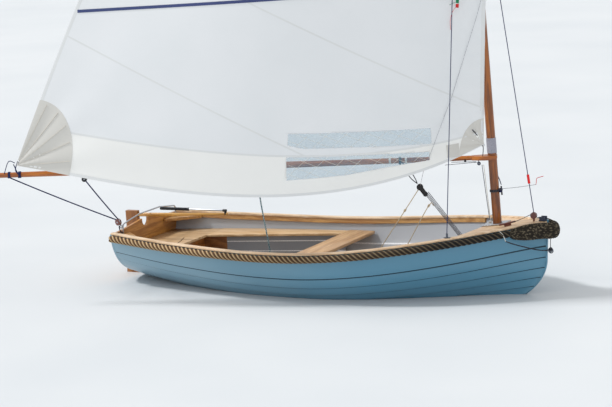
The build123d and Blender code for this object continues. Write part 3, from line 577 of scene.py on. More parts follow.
def moulded(x, w):
    bow = max(0.0, (share(x) - 0.5) / 0.5)
    top, low = sheer(x), keelLine(x)
    full = (0.0, 0.62 - 0.40 * bow ** 1.5, 0.90 - 0.30 * bow ** 1.5, 1.0)
    rise = (0.0, 0.04 + 0.10 * bow ** 1.5, 0.26 + 0.30 * bow ** 1.5, 1.0)
    weights = ((1 - w) ** 3, 3 * w * (1 - w) ** 2, 3 * w * w * (1 - w), w ** 3)
    z = low + (top - low) * sum(a * b for a, b in zip(weights, rise))
    y = halfBeam(x + (stemAt(top) - stemAt(z)) * bow) * sum(a * b for a, b in zip(weights, full))
    aftness = max(0.0, (hullSpec["slimFrom"] - x) / (hullSpec["slimFrom"] - hullSpec["aft"])) ** 1.5
    y *= 1 - hullSpec["sternSlim"] * aftness * 9.48 * w * (1 - w) ** 3
    return max(y, hullSpec["siding"] / 2 * min(1.0, w * 12)), z


def proud(x, w, out):
    y0, z0 = moulded(x, max(0.0, w - 0.01))
    y1, z1 = moulded(x, min(1.0, w + 0.01))
    y, z = moulded(x, w)
    run = math.hypot(y1 - y0, z1 - z0)
    return y + out * (z1 - z0) / run, z - out * (y1 - y0) / run


def besideSheer(x, side, out, up):
    turn = math.atan2(halfBeam(x + 0.005) - halfBeam(x - 0.005), 0.01)
    return Vector((x - out * math.sin(turn), side * (halfBeam(x) + out * math.cos(turn)), sheer(x) + up))


# Planking, each strake lapping the one below

# Share up the strake and how far it stands proud there, as a share of the land
strakeRows = ((0.0, 0.80), (0.045, 1.0), (0.25, 0.77), (0.5, 0.5), (0.75, 0.26), (0.93, 0.07), (1.0, 0.0))


def strakeRow(low, high, part, lift, base):
    w = low + (high - low) * part
    out = base + hullSpec["land"] * lift

    def at(x):
        y, z = proud(x, w, out)
        if w > 0.9999:
            z = sheer(x)
        if w < 0.0001:
            y, z = 0.0, keelLine(x) - base
        return max(0.0, y), z
    back, ahead = hullSpec["bowReach"]
    for turn in range(30):
        middle = (back + ahead) / 2
        if middle < stemAt(at(middle)[1]):
            back = middle
        else:
            ahead = middle
    count = hullSpec["stations"]
    row = []
    for k in range(count + 1):
        along = 1 - (1 - k / count) ** hullSpec["bunching"]
        x = hullSpec["skinAft"] + (back - hullSpec["skinAft"]) * along
        y, z = at(x)
        row.append(Vector((x, y, z)))
    return row


def makePlanking():
    shared = hullSpec["sheerShare"]
    edges = [(1 - shared) * k / (hullSpec["strakes"] - 1) for k in range(hullSpec["strakes"])] + [1.0]
    outside, inside = [], []
    for strake, (low, high) in enumerate(zip(edges, edges[1:])):
        for part, lift in strakeRows:
            outside.append((strakeRow(low, high, part, lift, 0.0), strake))
            inside.append((strakeRow(low, high, part, lift, -hullSpec["wall"]), strake))
    # each entry of the ring: row of points, side, inner face or not, strake
    ring = [(row, 1, False, strake) for row, strake in outside]
    ring += [(row, 1, True, strake) for row, strake in inside[::-1]]
    ring += [(row, -1, True, strake) for row, strake in inside[1:]]
    ring += [(row, -1, False, strake) for row, strake in outside[:0:-1]]
    rows, count, length = len(outside), len(ring), hullSpec["stations"] + 1
    points = [Vector((row[k].x, side * row[k].y, row[k].z))
              for k in range(length) for row, side, inner, strake in ring]
    faces, slots = [], []
    # the land's edge and the band just below it get painted shade on the outside, and a pale painted highlight on the
    # inside
    bands = [k for k in range(rows)
             if k % len(strakeRows) == len(strakeRows) - 2 and k < rows - len(strakeRows)]
    bands += [k for k in range(len(strakeRows), rows) if k % len(strakeRows) == 0]
    lapShadeAndHighlight = set(bands + [count - k - 1 for k in bands])
    lapShadeAndHighlight |= {2 * rows - 2 - k for k in bands} | {2 * rows + k - 1 for k in bands}
    for k in range(length - 1):
        for j in range(count):
            a, b = k * count + j, k * count + (j + 1) % count
            faces.append((a, a + count, b + count, b))
            first, second = ring[j], ring[(j + 1) % count]
            within = first[2] and second[2]
            land = first[2] == second[2] and (first[3] != second[3] or j in lapShadeAndHighlight)
            slots.append((3 if land else 1) if within else (2 if land else 0))
    for first in (0, (length - 1) * count):
        for j in range(rows - 1):
            outer = [first + (count - k) % count for k in (j, j + 1)]
            inner = [first + 2 * rows - 1 + k for k in (j, j + 1)]
            faces.append((first + j, first + j + 1, first + 2 * rows - 2 - j, first + 2 * rows - 1 - j))
            faces.append((outer[0], inner[0], inner[1], outer[1]))
            slots += [0, 0]
    piece = meshPiece("planking", points, faces, gelcoatBlue)
    for mat in (gelcoatGrey, landShade, lapHighlightInside):
        piece.data.materials.append(mat)
    for face, slot in zip(piece.data.polygons, slots):
        face.material_index = slot
    mended(piece, merge=0.00001)
    slotAft, slotFore, slotHalf = hullSpec["slot"]
    bpy.ops.mesh.primitive_cube_add(size=1, location=((slotAft + slotFore) / 2, 0, -0.12),
                                    scale=(slotFore - slotAft, 2 * slotHalf, 0.2))
    cutter = bpy.context.object
    applied(piece, "BOOLEAN", object=cutter, operation="DIFFERENCE", solver="EXACT")
    bpy.data.objects.remove(cutter)
    smoothed(piece, 30)
    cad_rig.replaces(piece, "hull_planking")
    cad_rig.slot(piece, "hull_gelcoat")
    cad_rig.ride(piece, "hull")
    return piece


planking = makePlanking()
print("planking made")

# Rails along the sheer

# Sections, each point out from the planking's face and up from the sheer
railSpec = {"cap": ((-0.030, 0.0007), (0.013, 0.0007), (0.016, 0.0035), (0.0165, 0.0085), (0.0150, 0.0135),
                    (0.0115, 0.0158),
                    (0.0, 0.0166), (-0.022, 0.0166), (-0.0275, 0.0150), (-0.030, 0.0115)),
            "inwale": ((-0.0260, -0.001), (-0.0105, -0.001), (-0.0145, -0.036), (-0.0290, -0.036),
                       (-0.0310, -0.034)),
            "capEnds": (-1.694, 1.716), "inwaleEnds": (-1.689, 1.040), "step": 0.035}


def makeRail(name, side, outline, ends, mat, nodeName):
    first, last = ends
    count = int((last - first) / railSpec["step"])
    points, faces = [], []
    size = len(outline)
    for k in range(count + 1):
        x = first + (last - first) * k / count
        for out, up in outline:
            p = besideSheer(x, 1, out, up)
            points.append(Vector((p.x, side * max(0.0003, p.y), p.z)))
    for k in range(count):
        for j in range(size):
            a, b = k * size + j, k * size + (j + 1) % size
            faces.append((a, b, b + size, a + size) if side > 0 else (a, a + size, b + size, b))
    ends = [tuple(range(size)), tuple(range(count * size, (count + 1) * size))]
    faces += [ends[0][::-1], ends[1]] if side > 0 else [ends[0], ends[1][::-1]]
    piece = meshPiece(name, points, faces, mat)
    mended(piece)
    smoothed(piece, 40)
    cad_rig.replaces(piece, nodeName)
    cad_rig.ride(piece, "hull")


for side, word in ((-1, "starboard"), (1, "port")):
    makeRail("cap." + word, side, railSpec["cap"], railSpec["capEnds"], capWood, "gunwale_" + word)
    makeRail("innerRail." + word, side, railSpec["inwale"], railSpec["inwaleEnds"], varnishLong,
             "inwale_" + word)
print("rails made")

# Carried-over wood and fittings: node, body, material, bevel in metres

dressing = [
    ("keel_skeg", "hull", gelcoatBlue, 0.003),
    ("foredeck", "hull", deckWood, 0.002), ("deck_beam", "hull", varnishAcross, 0.002),
    ("mast_plate", "hull", alloy, 0.002), ("deck_cleat", "hull", blockWood, 0.002),
    ("mast_cleat", "hull", blackPlastic, 0.002),
    ("bow_fairlead", "hull", blueBlack, 0.003), ("stem_ring", "hull", darkSteel, 0.002),
    ("stern_seat", "hull", benchWood, 0.003), ("bench_port", "hull", benchWood, 0.004),
    ("bench_starboard", "hull", benchWood, 0.004), ("stern_panel", "hull", varnishAcross, 0.002),
    ("bench_panel_port", "hull", panelWood, 0.002), ("bench_panel_starboard", "hull", panelWood, 0.002),
    ("thwart", "hull", thwartWood, 0.004), ("centreboard_case", "hull", gelcoatGrey, 0.003),
    ("floorboards", "hull", benchWood, 0.002), ("mast_step", "hull", varnishLong, 0.003),
    ("quarter_knees", "hull", varnishLong, 0.003), ("gudgeons", "hull", steel, 0.001),
    ("chainplates", "hull", darkSteel, 0.001), ("masthead_band", "hull", steel, 0.001),
    ("rudder_stock", "rudder", varnishUp, 0.004), ("pintles", "rudder", steel, 0.001),
    ("tiller", "rudder", tillerWood, 0.003), ("rudder_blade", "rudder_blade", varnishUp, 0.004),
    ("centreboard", "centreboard", varnishUp, 0.004), ("boom_jaws", "rig", boomWood, 0.004),
]
worked = {}
for nodeName, body, mat, bevel in dressing:
    worked[nodeName] = workedCopy(nodeName, "worked." + nodeName, body, mat, bevel)


def reshaped(nodeName, move):
    for vertex in worked[nodeName].data.vertices:
        vertex.co = move(vertex.co.copy())
    worked[nodeName].data.update()


def frameHalfBeam(x):
    ahead = halfBeam(x)
    if share(x) >= hullSpec["widestAt"]:
        return ahead
    swell = math.sin(math.pi / 2 * share(x) / hullSpec["widestAt"])
    return hullSpec["frameHalfBeam"] + (hullSpec["halfBeam"] - hullSpec["frameHalfBeam"]) * swell


# Furniture stands a hand's breadth further forward than in the frame, a little lower,
# and inside the narrower stern
fitSpec = {"from": -1.25, "to": -0.325, "ahead": 0.095, "above": 0.2, "lower": 0.012, "deckUp": 0.015,
           "skin": -1.6885, "plateFoot": 0.505, "plateDrop": 0.010, "fairleadDrop": 0.018,
           "gudgeonFore": -1.735, "gudgeonAhead": 0.010, "mastCleatUp": 0.764, "mastCleatSize": 0.6}
deckCleatSpec = {"turn": 50, "from": (1.472, 0, 0), "to": (1.455, -0.115, 0.006)}


def furniture(place):
    part = min(1.0, max(0.0, (place.x - fitSpec["from"]) / (fitSpec["to"] - fitSpec["from"])))
    before = frameHalfBeam(place.x)
    place.x += fitSpec["ahead"] * part
    place.y *= halfBeam(place.x) / before
    if place.z > fitSpec["above"]:
        place.z -= fitSpec["lower"]
    return place


def forwardOfSkin(place):
    place.x = max(place.x, fitSpec["skin"])
    place.y *= halfBeam(place.x) / frameHalfBeam(place.x)
    return place


def shifted(ahead=0.0, up=0.0, where=lambda place: True):
    return lambda place: place + Vector((ahead, 0, up)) if where(place) else place


def turnedCleat(place):
    turn = Matrix.Rotation(math.radians(deckCleatSpec["turn"]), 3, "Z")
    return turn @ (place - Vector(deckCleatSpec["from"])) + Vector(deckCleatSpec["to"])


def shortCleat(place):
    low = fitSpec["mastCleatUp"]
    place.z = low + fitSpec["mastCleatSize"] * (place.z - low)
    return place


for nodeName in ("bench_port", "bench_starboard", "bench_panel_port", "bench_panel_starboard", "thwart"):
    reshaped(nodeName, furniture)
for nodeName in ("stern_seat", "stern_panel"):
    reshaped(nodeName, lambda place: furniture(forwardOfSkin(place)))
reshaped("quarter_knees", forwardOfSkin)
reshaped("centreboard_case", shifted(up=-fitSpec["lower"], where=lambda place: place.z > fitSpec["above"]))
for nodeName in ("foredeck", "deck_beam", "mast_plate"):
    reshaped(nodeName, shifted(up=fitSpec["deckUp"]))
reshaped("chainplates", shifted(up=-fitSpec["plateDrop"], where=lambda place: place.z < fitSpec["plateFoot"]))
reshaped("bow_fairlead", shifted(up=-fitSpec["fairleadDrop"]))
reshaped("gudgeons", shifted(fitSpec["gudgeonAhead"], where=lambda place: place.x > fitSpec["gudgeonFore"]))
reshaped("deck_cleat", turnedCleat)
reshaped("mast_cleat", shortCleat)


# The panels below the benches are wood aft; forward of that they are grey darkened as painted shade, with pale lap
# lines as painted highlight
panelSpec = {"woodEnds": -1.16, "laps": (0.040, 0.120, 0.200), "lap": 0.007}


def paintPanel(nodeName):
    piece = worked[nodeName]
    mesh = bmesh.new()
    mesh.from_mesh(piece.data)
    cuts = [((panelSpec["woodEnds"], 0, 0), (1, 0, 0))]
    for z in panelSpec["laps"]:
        cuts += [((0, 0, z), (0, 0, 1)), ((0, 0, z + panelSpec["lap"]), (0, 0, 1))]
    for place, way in cuts:
        parts = list(mesh.verts) + list(mesh.edges) + list(mesh.faces)
        bmesh.ops.bisect_plane(mesh, geom=parts, dist=1e-6, plane_co=place, plane_no=way)
    for face in mesh.faces:
        middle = face.calc_center_median()
        # grey in painted shade forward of the wood, the lap strips in painted highlight
        if middle.x > panelSpec["woodEnds"]:
            lapped = any(z < middle.z < z + panelSpec["lap"] for z in panelSpec["laps"])
            face.material_index = 2 if lapped else 1
    mesh.to_mesh(piece.data)
    mesh.free()
    for mat in (panelGrey, lapHighlightInside):
        piece.data.materials.append(mat)


for nodeName in ("bench_panel_port", "bench_panel_starboard"):
    paintPanel(nodeName)


# Stem, round in profile, and the transom with its peaked top and notch

stemSpec = {"moulding": 0.008, "play": 0.0003, "foot": -0.118, "top": 0.562, "steps": 60, "siding": 0.024,
            "beside": 0.002}


def makeStem():
    places = []
    for k in range(stemSpec["steps"] + 1):
        z = stemSpec["foot"] + (stemSpec["top"] - stemSpec["foot"]) * k / stemSpec["steps"]
        low, high = z - stemSpec["beside"], z + stemSpec["beside"]
        rise = Vector((stemAt(high) - stemAt(low), 0, high - low))
        normal = rise.normalized().cross(Vector((0, 1, 0)))
        if normal.x < 0:
            normal = -normal
        places.append((Vector((stemAt(z), 0, z)), normal))
    half = stemSpec["siding"] / 2
    inner, outer = stemSpec["play"], stemSpec["moulding"]
    ring = ((inner, -half), (inner, half), (outer - 0.002, half),
            (outer, half - 0.004), (outer, 0.004 - half), (outer - 0.002, -half))
    points = [place + normal * out + Vector((0, y, 0)) for place, normal in places for out, y in ring]
    size, faces = len(ring), []
    for k in range(len(places) - 1):
        for j in range(size):
            a, b = k * size + j, k * size + (j + 1) % size
            faces.append((a, b, b + size, a + size))
    faces += [tuple(range(size))[::-1], tuple(range((len(places) - 1) * size, len(places) * size))]
    piece = meshPiece("stemPost", points, faces, gelcoatBlue)
    mended(piece)
    smoothed(piece, 35)
    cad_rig.replaces(piece, "stem")
    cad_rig.ride(piece, "hull")


transomSpec = {"back": -1.712, "front": -1.6905, "crown": 0.047, "notchHalf": 0.049, "notchLow": 0.382,
               "sideSteps": 60, "crownSteps": 40, "notchSteps": 12, "proud": 0.002}


def makeTransom():
    x = hullSpec["skinAft"]
    steps, crownSteps = transomSpec["sideSteps"], transomSpec["crownSteps"]
    notchSteps = transomSpec["notchSteps"]
    side = [proud(x, k / steps, transomSpec["proud"]) for k in range(1, steps + 1)]
    width, notchHalf = side[-1][0], transomSpec["notchHalf"]

    def crownAt(y):
        return y, hullSpec["sheerStern"] + transomSpec["crown"] * (1 - y / width) ** 1.5
    across = [width * (1 - k / crownSteps) for k in range(1, crownSteps + 1)]
    crown = [crownAt(y) for y in across if y > notchHalf]
    notch = [crownAt(notchHalf)]
    for k in range(notchSteps + 1):
        angle = math.pi / 2 * k / notchSteps
        notch.append((notchHalf * math.cos(angle),
                      transomSpec["notchLow"] + notchHalf * (1 - math.sin(angle))))
    half = [(0.0, keelLine(x))] + side + crown + notch
    outline = half + [(-y, z) for y, z in half[-2:0:-1]]
    count = len(outline)
    points = [Vector((x, y, z)) for x in (transomSpec["back"], transomSpec["front"]) for y, z in outline]
    faces = [(k, (k + 1) % count, count + (k + 1) % count, count + k) for k in range(count)]
    triangles = geometry.tessellate_polygon([[Vector((y, z, 0)) for y, z in outline]])
    faces += [tuple(t) for t in triangles] + [tuple(v + count for v in t[::-1]) for t in triangles]
    piece = meshPiece("transomBoard", points, faces, transomWood)
    piece.data.materials.append(gelcoatBlue)
    sideCount = len(side) + 1
    for k in range(count):
        if k < sideCount or k >= count - sideCount:
            piece.data.polygons[k].material_index = 1
    mended(piece)
    smoothed(piece, 30)
    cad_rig.replaces(piece, "transom")
    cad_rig.ride(piece, "hull")


makeStem()
makeTransom()

kept = [("mast", mastWood), ("boom", boomWood), ("yard", yardWood), ("mast_sleeve", sleevePaint),
        ("shroud_port", navyLine), ("shroud_starboard", navyLine),
        ("forestay", navyLine), ("yard_ring", steel), ("forestay_block", blockWood)]
for nodeName, mat in kept:
    piece = frame["nodes"][nodeName]
    piece.data.materials.clear()
    piece.data.materials.append(mat)
print("wood and fittings dressed")

# Rope fenders

ropeSpec = {"radius": 0.027, "tuck": 0.0040, "drop": 0.0275, "pitch": -0.158, "step": 0.008, "sides": 36,
            "ends": (-1.688, 1.496), "strands": 4, "strand": 0.47}


def ropeMaterial():
    mat = newMaterial("fenderRope", (150, 128, 88), 0.9)
    lay = node(mat, "ShaderNodeUVMap", uv_map="lay")
    parts = node(mat, "ShaderNodeSeparateXYZ", {"Vector": lay.outputs["UV"]})
    # Distance from the strand's crest: crests get a painted highlight, the grooves between strands painted shade
    within = node(mat, "ShaderNodeMath", {0: parts.outputs["X"]}, operation="FRACT")
    off = node(mat, "ShaderNodeMath", {0: within.outputs[0], 1: 0.5}, operation="SUBTRACT")
    off = node(mat, "ShaderNodeMath", {0: off.outputs[0]}, operation="ABSOLUTE")
    yarns = node(mat, "ShaderNodeMapping", {"Vector": lay.outputs["UV"]})
    yarns.inputs["Scale"].default_value = (9, 60, 1)
    yarns.inputs["Rotation"].default_value = (0, 0, 0.5)
    fibre = node(mat, "ShaderNodeTexNoise", {"Vector": yarns.outputs["Vector"], "Scale": 2.0, "Detail": 4.0})
    mixed = node(mat, "ShaderNodeMath", {0: fibre.outputs["Fac"], 1: 0.30, 2: off.outputs[0]},
                 operation="MULTIPLY_ADD")
    # Painted light and shade along the fender: pale colours for the lit aft run, dark ones for the bow run in shade
    litAftRamp = ramp(mat, mixed.outputs[0], ((0.10, (226, 204, 164)), (0.26, (172, 142, 102)),
                                        (0.42, (120, 90, 60)), (0.58, (78, 56, 38))))
    dark = ramp(mat, mixed.outputs[0], ((0.06, (128, 118, 94)), (0.18, (84, 74, 58)),
                                        (0.32, (44, 38, 30)), (0.50, (16, 14, 11))))
    # The blend along X goes from the painted-lit aft ramp to the painted-shade bow ramp
    ahead = node(mat, "ShaderNodeSeparateXYZ", {"Vector": objectPlace(mat)})
    blend = node(mat, "ShaderNodeMapRange", {"Value": ahead.outputs["X"], "From Min": -0.9, "From Max": 1.1})
    colour = node(mat, "ShaderNodeMix", {0: blend.outputs["Result"], 6: litAftRamp, 7: dark}, data_type="RGBA")
    feed(mat, colour.outputs[2], "Base Color")
    bump(mat, fibre.outputs["Fac"], 0.5, 0.003)
    return mat


def strandOutline(radius, lay, sides, strand, strands):
    reach = 1 - strand

    def ring(distance, part):
        points = []
        for k in range(sides):
            angle = 2 * math.pi * k / sides
            local = (angle - 2 * math.pi * distance / lay) % (2 * math.pi / strands) - math.pi / strands
            size = reach * math.cos(local) + math.sqrt(strand ** 2 - (reach * math.sin(local)) ** 2)
            points.append((radius * size * math.cos(angle), radius * size * math.sin(angle)))
        return points
    return ring


def makeRopeFenders():
    mat = ropeMaterial()
    aft, fore = ropeSpec["ends"]
    stations = [aft + (fore - aft) * k / 40 for k in range(41)]
    outline = strandOutline(*[ropeSpec[key] for key in ("radius", "pitch", "sides", "strand", "strands")])
    for side, word in ((-1, "starboard"), (1, "port")):
        route = [besideSheer(x, side, ropeSpec["radius"] - ropeSpec["tuck"], -ropeSpec["drop"])
                 for x in stations]
        path = smoothPath(route, ropeSpec["step"])
        piece = sweep("ropeFender." + word, path, outline, mat, ropeSpec["strands"], ropeSpec["pitch"])
        smoothed(piece, 50)
        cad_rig.replaces(piece, "rope_fender")
        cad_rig.slot(piece, "fender_rope")
        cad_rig.ride(piece, "hull")


makeRopeFenders()
print("rope fenders made")

# Bow pad, hitched over with cord

# Side: station, size, drop below the sheer. Nose: behind the tip, half breadth, drop below the stem head
padSpec = {"thick": 0.084, "depth": 0.122, "tip": 1.773, "rows": 28, "hitch": 0.016, "relief": 0.0070,
           "step": 0.004,
           "endSize": 0.50, "endRound": 0.035, "clear": 0.001,
           "side": ((1.490, 0.70, 0.040), (1.540, 0.86, 0.043), (1.585, 0.95, 0.046), (1.625, 0.99, 0.050),
                    (1.665, 1.0, 0.055), (1.700, 1.0, 0.063)),
           "nose": ((0.027, 0.043, 0.067), (0.009, 0.025, 0.068), (0.0, 0.0, 0.069))}


def padMaterial():
    mat = newMaterial("padRope", (92, 78, 52), 0.95)
    lay = node(mat, "ShaderNodeUVMap", uv_map="lay")
    spots = node(mat, "ShaderNodeMapping", {"Vector": lay.outputs["UV"]})
    spots.inputs["Scale"].default_value = (padSpec["rows"], 1 / padSpec["hitch"], 1)
    cells = node(mat, "ShaderNodeTexVoronoi", {"Vector": spots.outputs["Vector"], "Scale": 0.9})
    fine = node(mat, "ShaderNodeTexNoise", {"Vector": spots.outputs["Vector"], "Scale": 2.5, "Detail": 4.0})
    mixed = node(mat, "ShaderNodeMath", {0: fine.outputs["Fac"], 1: 0.9, 2: cells.outputs["Distance"]},
                 operation="MULTIPLY_ADD")
    # Pale at the middle of each hitch-sized cell, near black at its edge: painted highlight on the hitch tops and
    # painted shade in the gaps, over the cord's own mottle
    colour = ramp(mat, mixed.outputs[0],
                  ((0.42, (146, 137, 116)), (0.62, (112, 103, 86)), (0.84, (76, 68, 54)),
                                          (1.0, (38, 33, 26))))
    feed(mat, colour, "Base Color")
    bump(mat, fine.outputs["Fac"], 0.6, 0.003)
    return mat


def makeBowPad():
    half = []
    for x, size, drop in padSpec["side"]:
        out = size * padSpec["thick"] / 2 + padSpec["clear"]
        half.append((besideSheer(x, 1, out, throughTable(hullSpec["dip"], x) - drop), size))
    for behind, y, drop in padSpec["nose"]:
        half.append((Vector((padSpec["tip"] - behind, y, hullSpec["sheerBow"] - drop)), 1.0))
    route = half + [(Vector((p.x, -p.y, p.z)), size) for p, size in half[-2::-1]]
    path = smoothPath([p for p, size in route], padSpec["step"])
    total = sum((b - a).length for a, b in zip(path, path[1:]))
    sides = padSpec["rows"] * 4

    def ring(distance, part):
        end = min(part, 1 - part)
        size = padSpec["endSize"] + (1 - padSpec["endSize"]) * math.sin(math.pi / 2 * min(1.0, end * 4))
        size *= math.sqrt(max(0.02, 1 - (1 - min(1.0, end * total / padSpec["endRound"])) ** 2))
        points = []
        for k in range(sides):
            angle = 2 * math.pi * k / sides
            row = padSpec["rows"] * k / sides
            lump = abs(math.sin(math.pi * row)) ** 0.6
            hitch = 0.5 + 0.5 * math.cos(2 * math.pi * (distance / padSpec["hitch"] + 0.5 * (int(row) % 2)))
            relief = padSpec["relief"] * (lump * (0.55 + 0.45 * hitch) - 1)
            points.append(((padSpec["thick"] / 2 * size + relief) * math.cos(angle),
                           (padSpec["depth"] / 2 * size + relief) * math.sin(angle)))
        return points

    piece = sweep("bowPad", path, ring, padMaterial())
    smoothed(piece, 80)
    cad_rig.replaces(piece, "bow_fender")
    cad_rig.slot(piece, "bow_rope")
    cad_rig.ride(piece, "hull")


makeBowPad()
print("bow pad made")

# The rig's own frame, from its hinge; places in it are (aft, out, up)

rigJoint = next(joint for joint in frame["joints"] if joint["name"] == "rig_swing")
rigSpec = {"swing": 21.0, "hingeUp": 0.512, "boomRise": 1.9}
mastUp = Vector(rigJoint["axis"]).normalized()
mastFore = Vector((0, 1, 0)).cross(mastUp)
aftWay = Matrix.Rotation(math.radians(rigSpec["swing"]), 3, mastUp) @ -mastFore
outWay = Matrix.Rotation(math.radians(rigSpec["swing"]), 3, mastUp) @ Vector((0, -1, 0))
hingePlace = Vector(rigJoint["pos_m"])


def rigPlace(aft, out, up):
    return hingePlace + mastUp * (up - rigSpec["hingeUp"]) + aftWay * aft + outWay * out


# Sail

sailSpec = {"tack": (0.054, 0.046, 0.622), "clew": (3.53, 0.03, 0.705), "throat": (-0.06, 0.042, 1.95),
            "peak": (1.10, 0.25, 4.80), "roach": 0.10, "skew": 0.36, "columns": 110, "rows": 150,
            "thick": 0.0012,
            "belly": ((0.0, 0.27), (0.10, 0.29), (0.28, 0.285), (0.52, 0.235), (0.78, 0.145), (1.0, 0.014)),
            "drop": ((0.0, 0.273), (0.10, 0.105), (0.28, 0.0), (0.52, 0.0), (0.78, 0.0), (1.0, 0.0)),
            "footPanel": 0.0667}


def sailRig(s, t):
    tack, clew = Vector(sailSpec["tack"]), Vector(sailSpec["clew"])
    throat, peak = Vector(sailSpec["throat"]), Vector(sailSpec["peak"])
    luff = tack.lerp(throat, t)
    leech = clew.lerp(peak, t)
    across = Vector(((peak - clew).z, 0, -(peak - clew).x)).normalized()
    leech += across * (sailSpec["roach"] * 4 * t * (1 - t))
    curve = 4 * s * (1 - s) * (1 + sailSpec["skew"] * (1 - 2 * s))
    place = luff.lerp(leech, s)
    place += Vector((0, throughTable(sailSpec["belly"], t), -throughTable(sailSpec["drop"], t))) * curve
    return place + Vector((0, creases(place, s, t), 0))


# Creases fan from each corner: height, folds, how far they run.
# Others cross the middle and stand along the luff
creaseSpec = {"corners": {"tack": (0.008, 11, 0.8), "clew": (0.006, 13, 0.7),
                          "throat": (0.005, 9, 0.8), "peak": (0.004, 9, 0.6)},
              "starts": 0.15, "middle": 0.008, "luff": 0.006, "luffFolds": 9, "luffFade": 14}


def creases(place, s, t):
    wave = math.sin(2 * math.pi * (1.3 * s + 0.8 * t) + 0.5)
    total = creaseSpec["middle"] * wave * math.sin(math.pi * s) * math.sin(math.pi * t)
    for name, (height, folds, fade) in creaseSpec["corners"].items():
        corner = sailSpec[name]
        aft, up = place.x - corner[0], place.z - corner[2]
        away = math.hypot(aft, up)
        near = math.exp(-away / fade) * min(1, away / creaseSpec["starts"])
        total += height * near * math.sin(folds * math.atan2(up, aft))
    along = math.sin(2 * math.pi * t * creaseSpec["luffFolds"]) * math.exp(-s * creaseSpec["luffFade"])
    return total + creaseSpec["luff"] * along


def sailPoint(s, t, lift=0.0):
    place = rigPlace(*sailRig(s, t))
    if lift:
        place += sailNormal(s, t) * lift
    return place


def sailNormal(s, t):
    step = 0.004
    a, b = rigPlace(*sailRig(s - step, t)), rigPlace(*sailRig(s + step, t))
    c, d = rigPlace(*sailRig(s, t - step)), rigPlace(*sailRig(s, t + step))
    normal = (b - a).cross(d - c).normalized()
    return normal if normal.dot(outWay) > 0 else -normal


def sailAt(aft, up):
    s, t, step = 0.5, 0.2, 0.002
    for turn in range(12):
        here, right, above = sailRig(s, t), sailRig(s + step, t), sailRig(s, t + step)
        a, b = (right.x - here.x) / step, (above.x - here.x) / step
        c, d = (right.z - here.z) / step, (above.z - here.z) / step
        da, du = aft - here.x, up - here.z
        det = a * d - b * c
        s += (d * da - b * du) / det
        t += (a * du - c * da) / det
    return s, t


windowSpec = {"upper": ((0.420, 0.670), (1.340, 0.720), (1.445, 0.752), (1.435, 0.835), (0.420, 0.785)),
              "lower": ((0.445, 0.550), (0.735, 0.533), (1.047, 0.500), (1.480, 0.494), (1.465, 0.665),
                        (0.440, 0.613)),
              "thread": 0.0017, "threadThick": 0.0006, "lift": 0.0012, "stride": 0.02,
              "spacing": 0.1456, "slopes": (26, -38)}


def clothMaterial(name, light, dark):
    mat = newMaterial(name, light, 0.62, Sheen_Weight=0.15, Subsurface_Weight=0.0)
    lay = node(mat, "ShaderNodeUVMap", uv_map="lay")
    weave = node(mat, "ShaderNodeMapping", {"Vector": lay.outputs["UV"]})
    warp = node(mat, "ShaderNodeTexWave", {"Vector": weave.outputs["Vector"], "Scale": 180.0},
                bands_direction="X")
    weft = node(mat, "ShaderNodeTexWave", {"Vector": weave.outputs["Vector"], "Scale": 180.0},
                bands_direction="Y")
    threads = node(mat, "ShaderNodeMath", {0: warp.outputs["Fac"], 1: weft.outputs["Fac"]}, operation="ADD")
    clouds = node(mat, "ShaderNodeTexNoise", {"Vector": weave.outputs["Vector"], "Scale": 1.7, "Detail": 4.0})
    feed(mat, ramp(mat, clouds.outputs["Fac"], ((0.3, dark), (0.7, light))), "Base Color")
    bump(mat, threads.outputs[0], 0.06, 0.0006)
    return mat


def cutWindows(mesh):
    for corners in (windowSpec["upper"], windowSpec["lower"]):
        low = min(c[0] for c in corners) - 0.1, min(c[1] for c in corners) - 0.1
        high = max(c[0] for c in corners) + 0.1, max(c[1] for c in corners) + 0.1
        for (a0, u0), (a1, u1) in zip(corners, corners[1:] + corners[:1]):
            normal = (rigPlace(a1, 0, u1) - rigPlace(a0, 0, u0)).cross(outWay)
            near = []
            for face in mesh.faces:
                aft, up = flatPlace(face.calc_center_median())
                if low[0] < aft < high[0] and low[1] < up < high[1]:
                    near.append(face)
            parts = near + list({e for f in near for e in f.edges}) + list({v for f in near for v in f.verts})
            bmesh.ops.bisect_plane(mesh, geom=parts, dist=1e-6, plane_co=rigPlace(a0, 0, u0), plane_no=normal)
    for face in mesh.faces:
        aft, up = flatPlace(face.calc_center_median())
        if any(insideOutline(aft, up, corners) for corners in (windowSpec["upper"], windowSpec["lower"])):
            face.material_index = 2


def flatPlace(place):
    off = place - hingePlace
    return off.dot(aftWay), off.dot(mastUp) + rigSpec["hingeUp"]


def insideOutline(x, y, corners):
    inside = False
    for (x0, y0), (x1, y1) in zip(corners, corners[1:] + corners[:1]):
        if (y0 > y) != (y1 > y) and x < (x1 - x0) * (y - y0) / (y1 - y0) + x0:
            inside = not inside
    return inside


sailCloth = clothMaterial("sailCloth", (232, 234, 236), (227, 230, 232))
footCloth = clothMaterial("footCloth", (242, 242, 239), (238, 238, 235))
patchCloth = clothMaterial("patchCloth", (212, 210, 204), (200, 198, 192))
tapeCloth = clothMaterial("tapeCloth", (224, 226, 226), (218, 220, 220))
beigeCloth = clothMaterial("beigeCloth", (214, 209, 198), (206, 200, 190))
navyCloth = clothMaterial("navyCloth", (62, 74, 122), (52, 64, 110))
windowFilm = newMaterial("windowFilm", (112, 158, 180), 0.12, Alpha=0.27, Coat_Weight=0.3)
filmHaze = node(windowFilm, "ShaderNodeTexNoise",
                {"Vector": objectPlace(windowFilm), "Scale": 6.0, "Detail": 2.0})
feed(windowFilm, ramp(windowFilm, filmHaze.outputs["Fac"], ((0.3, (96, 146, 170)), (0.7, (124, 166, 186)))),
     "Base Color")


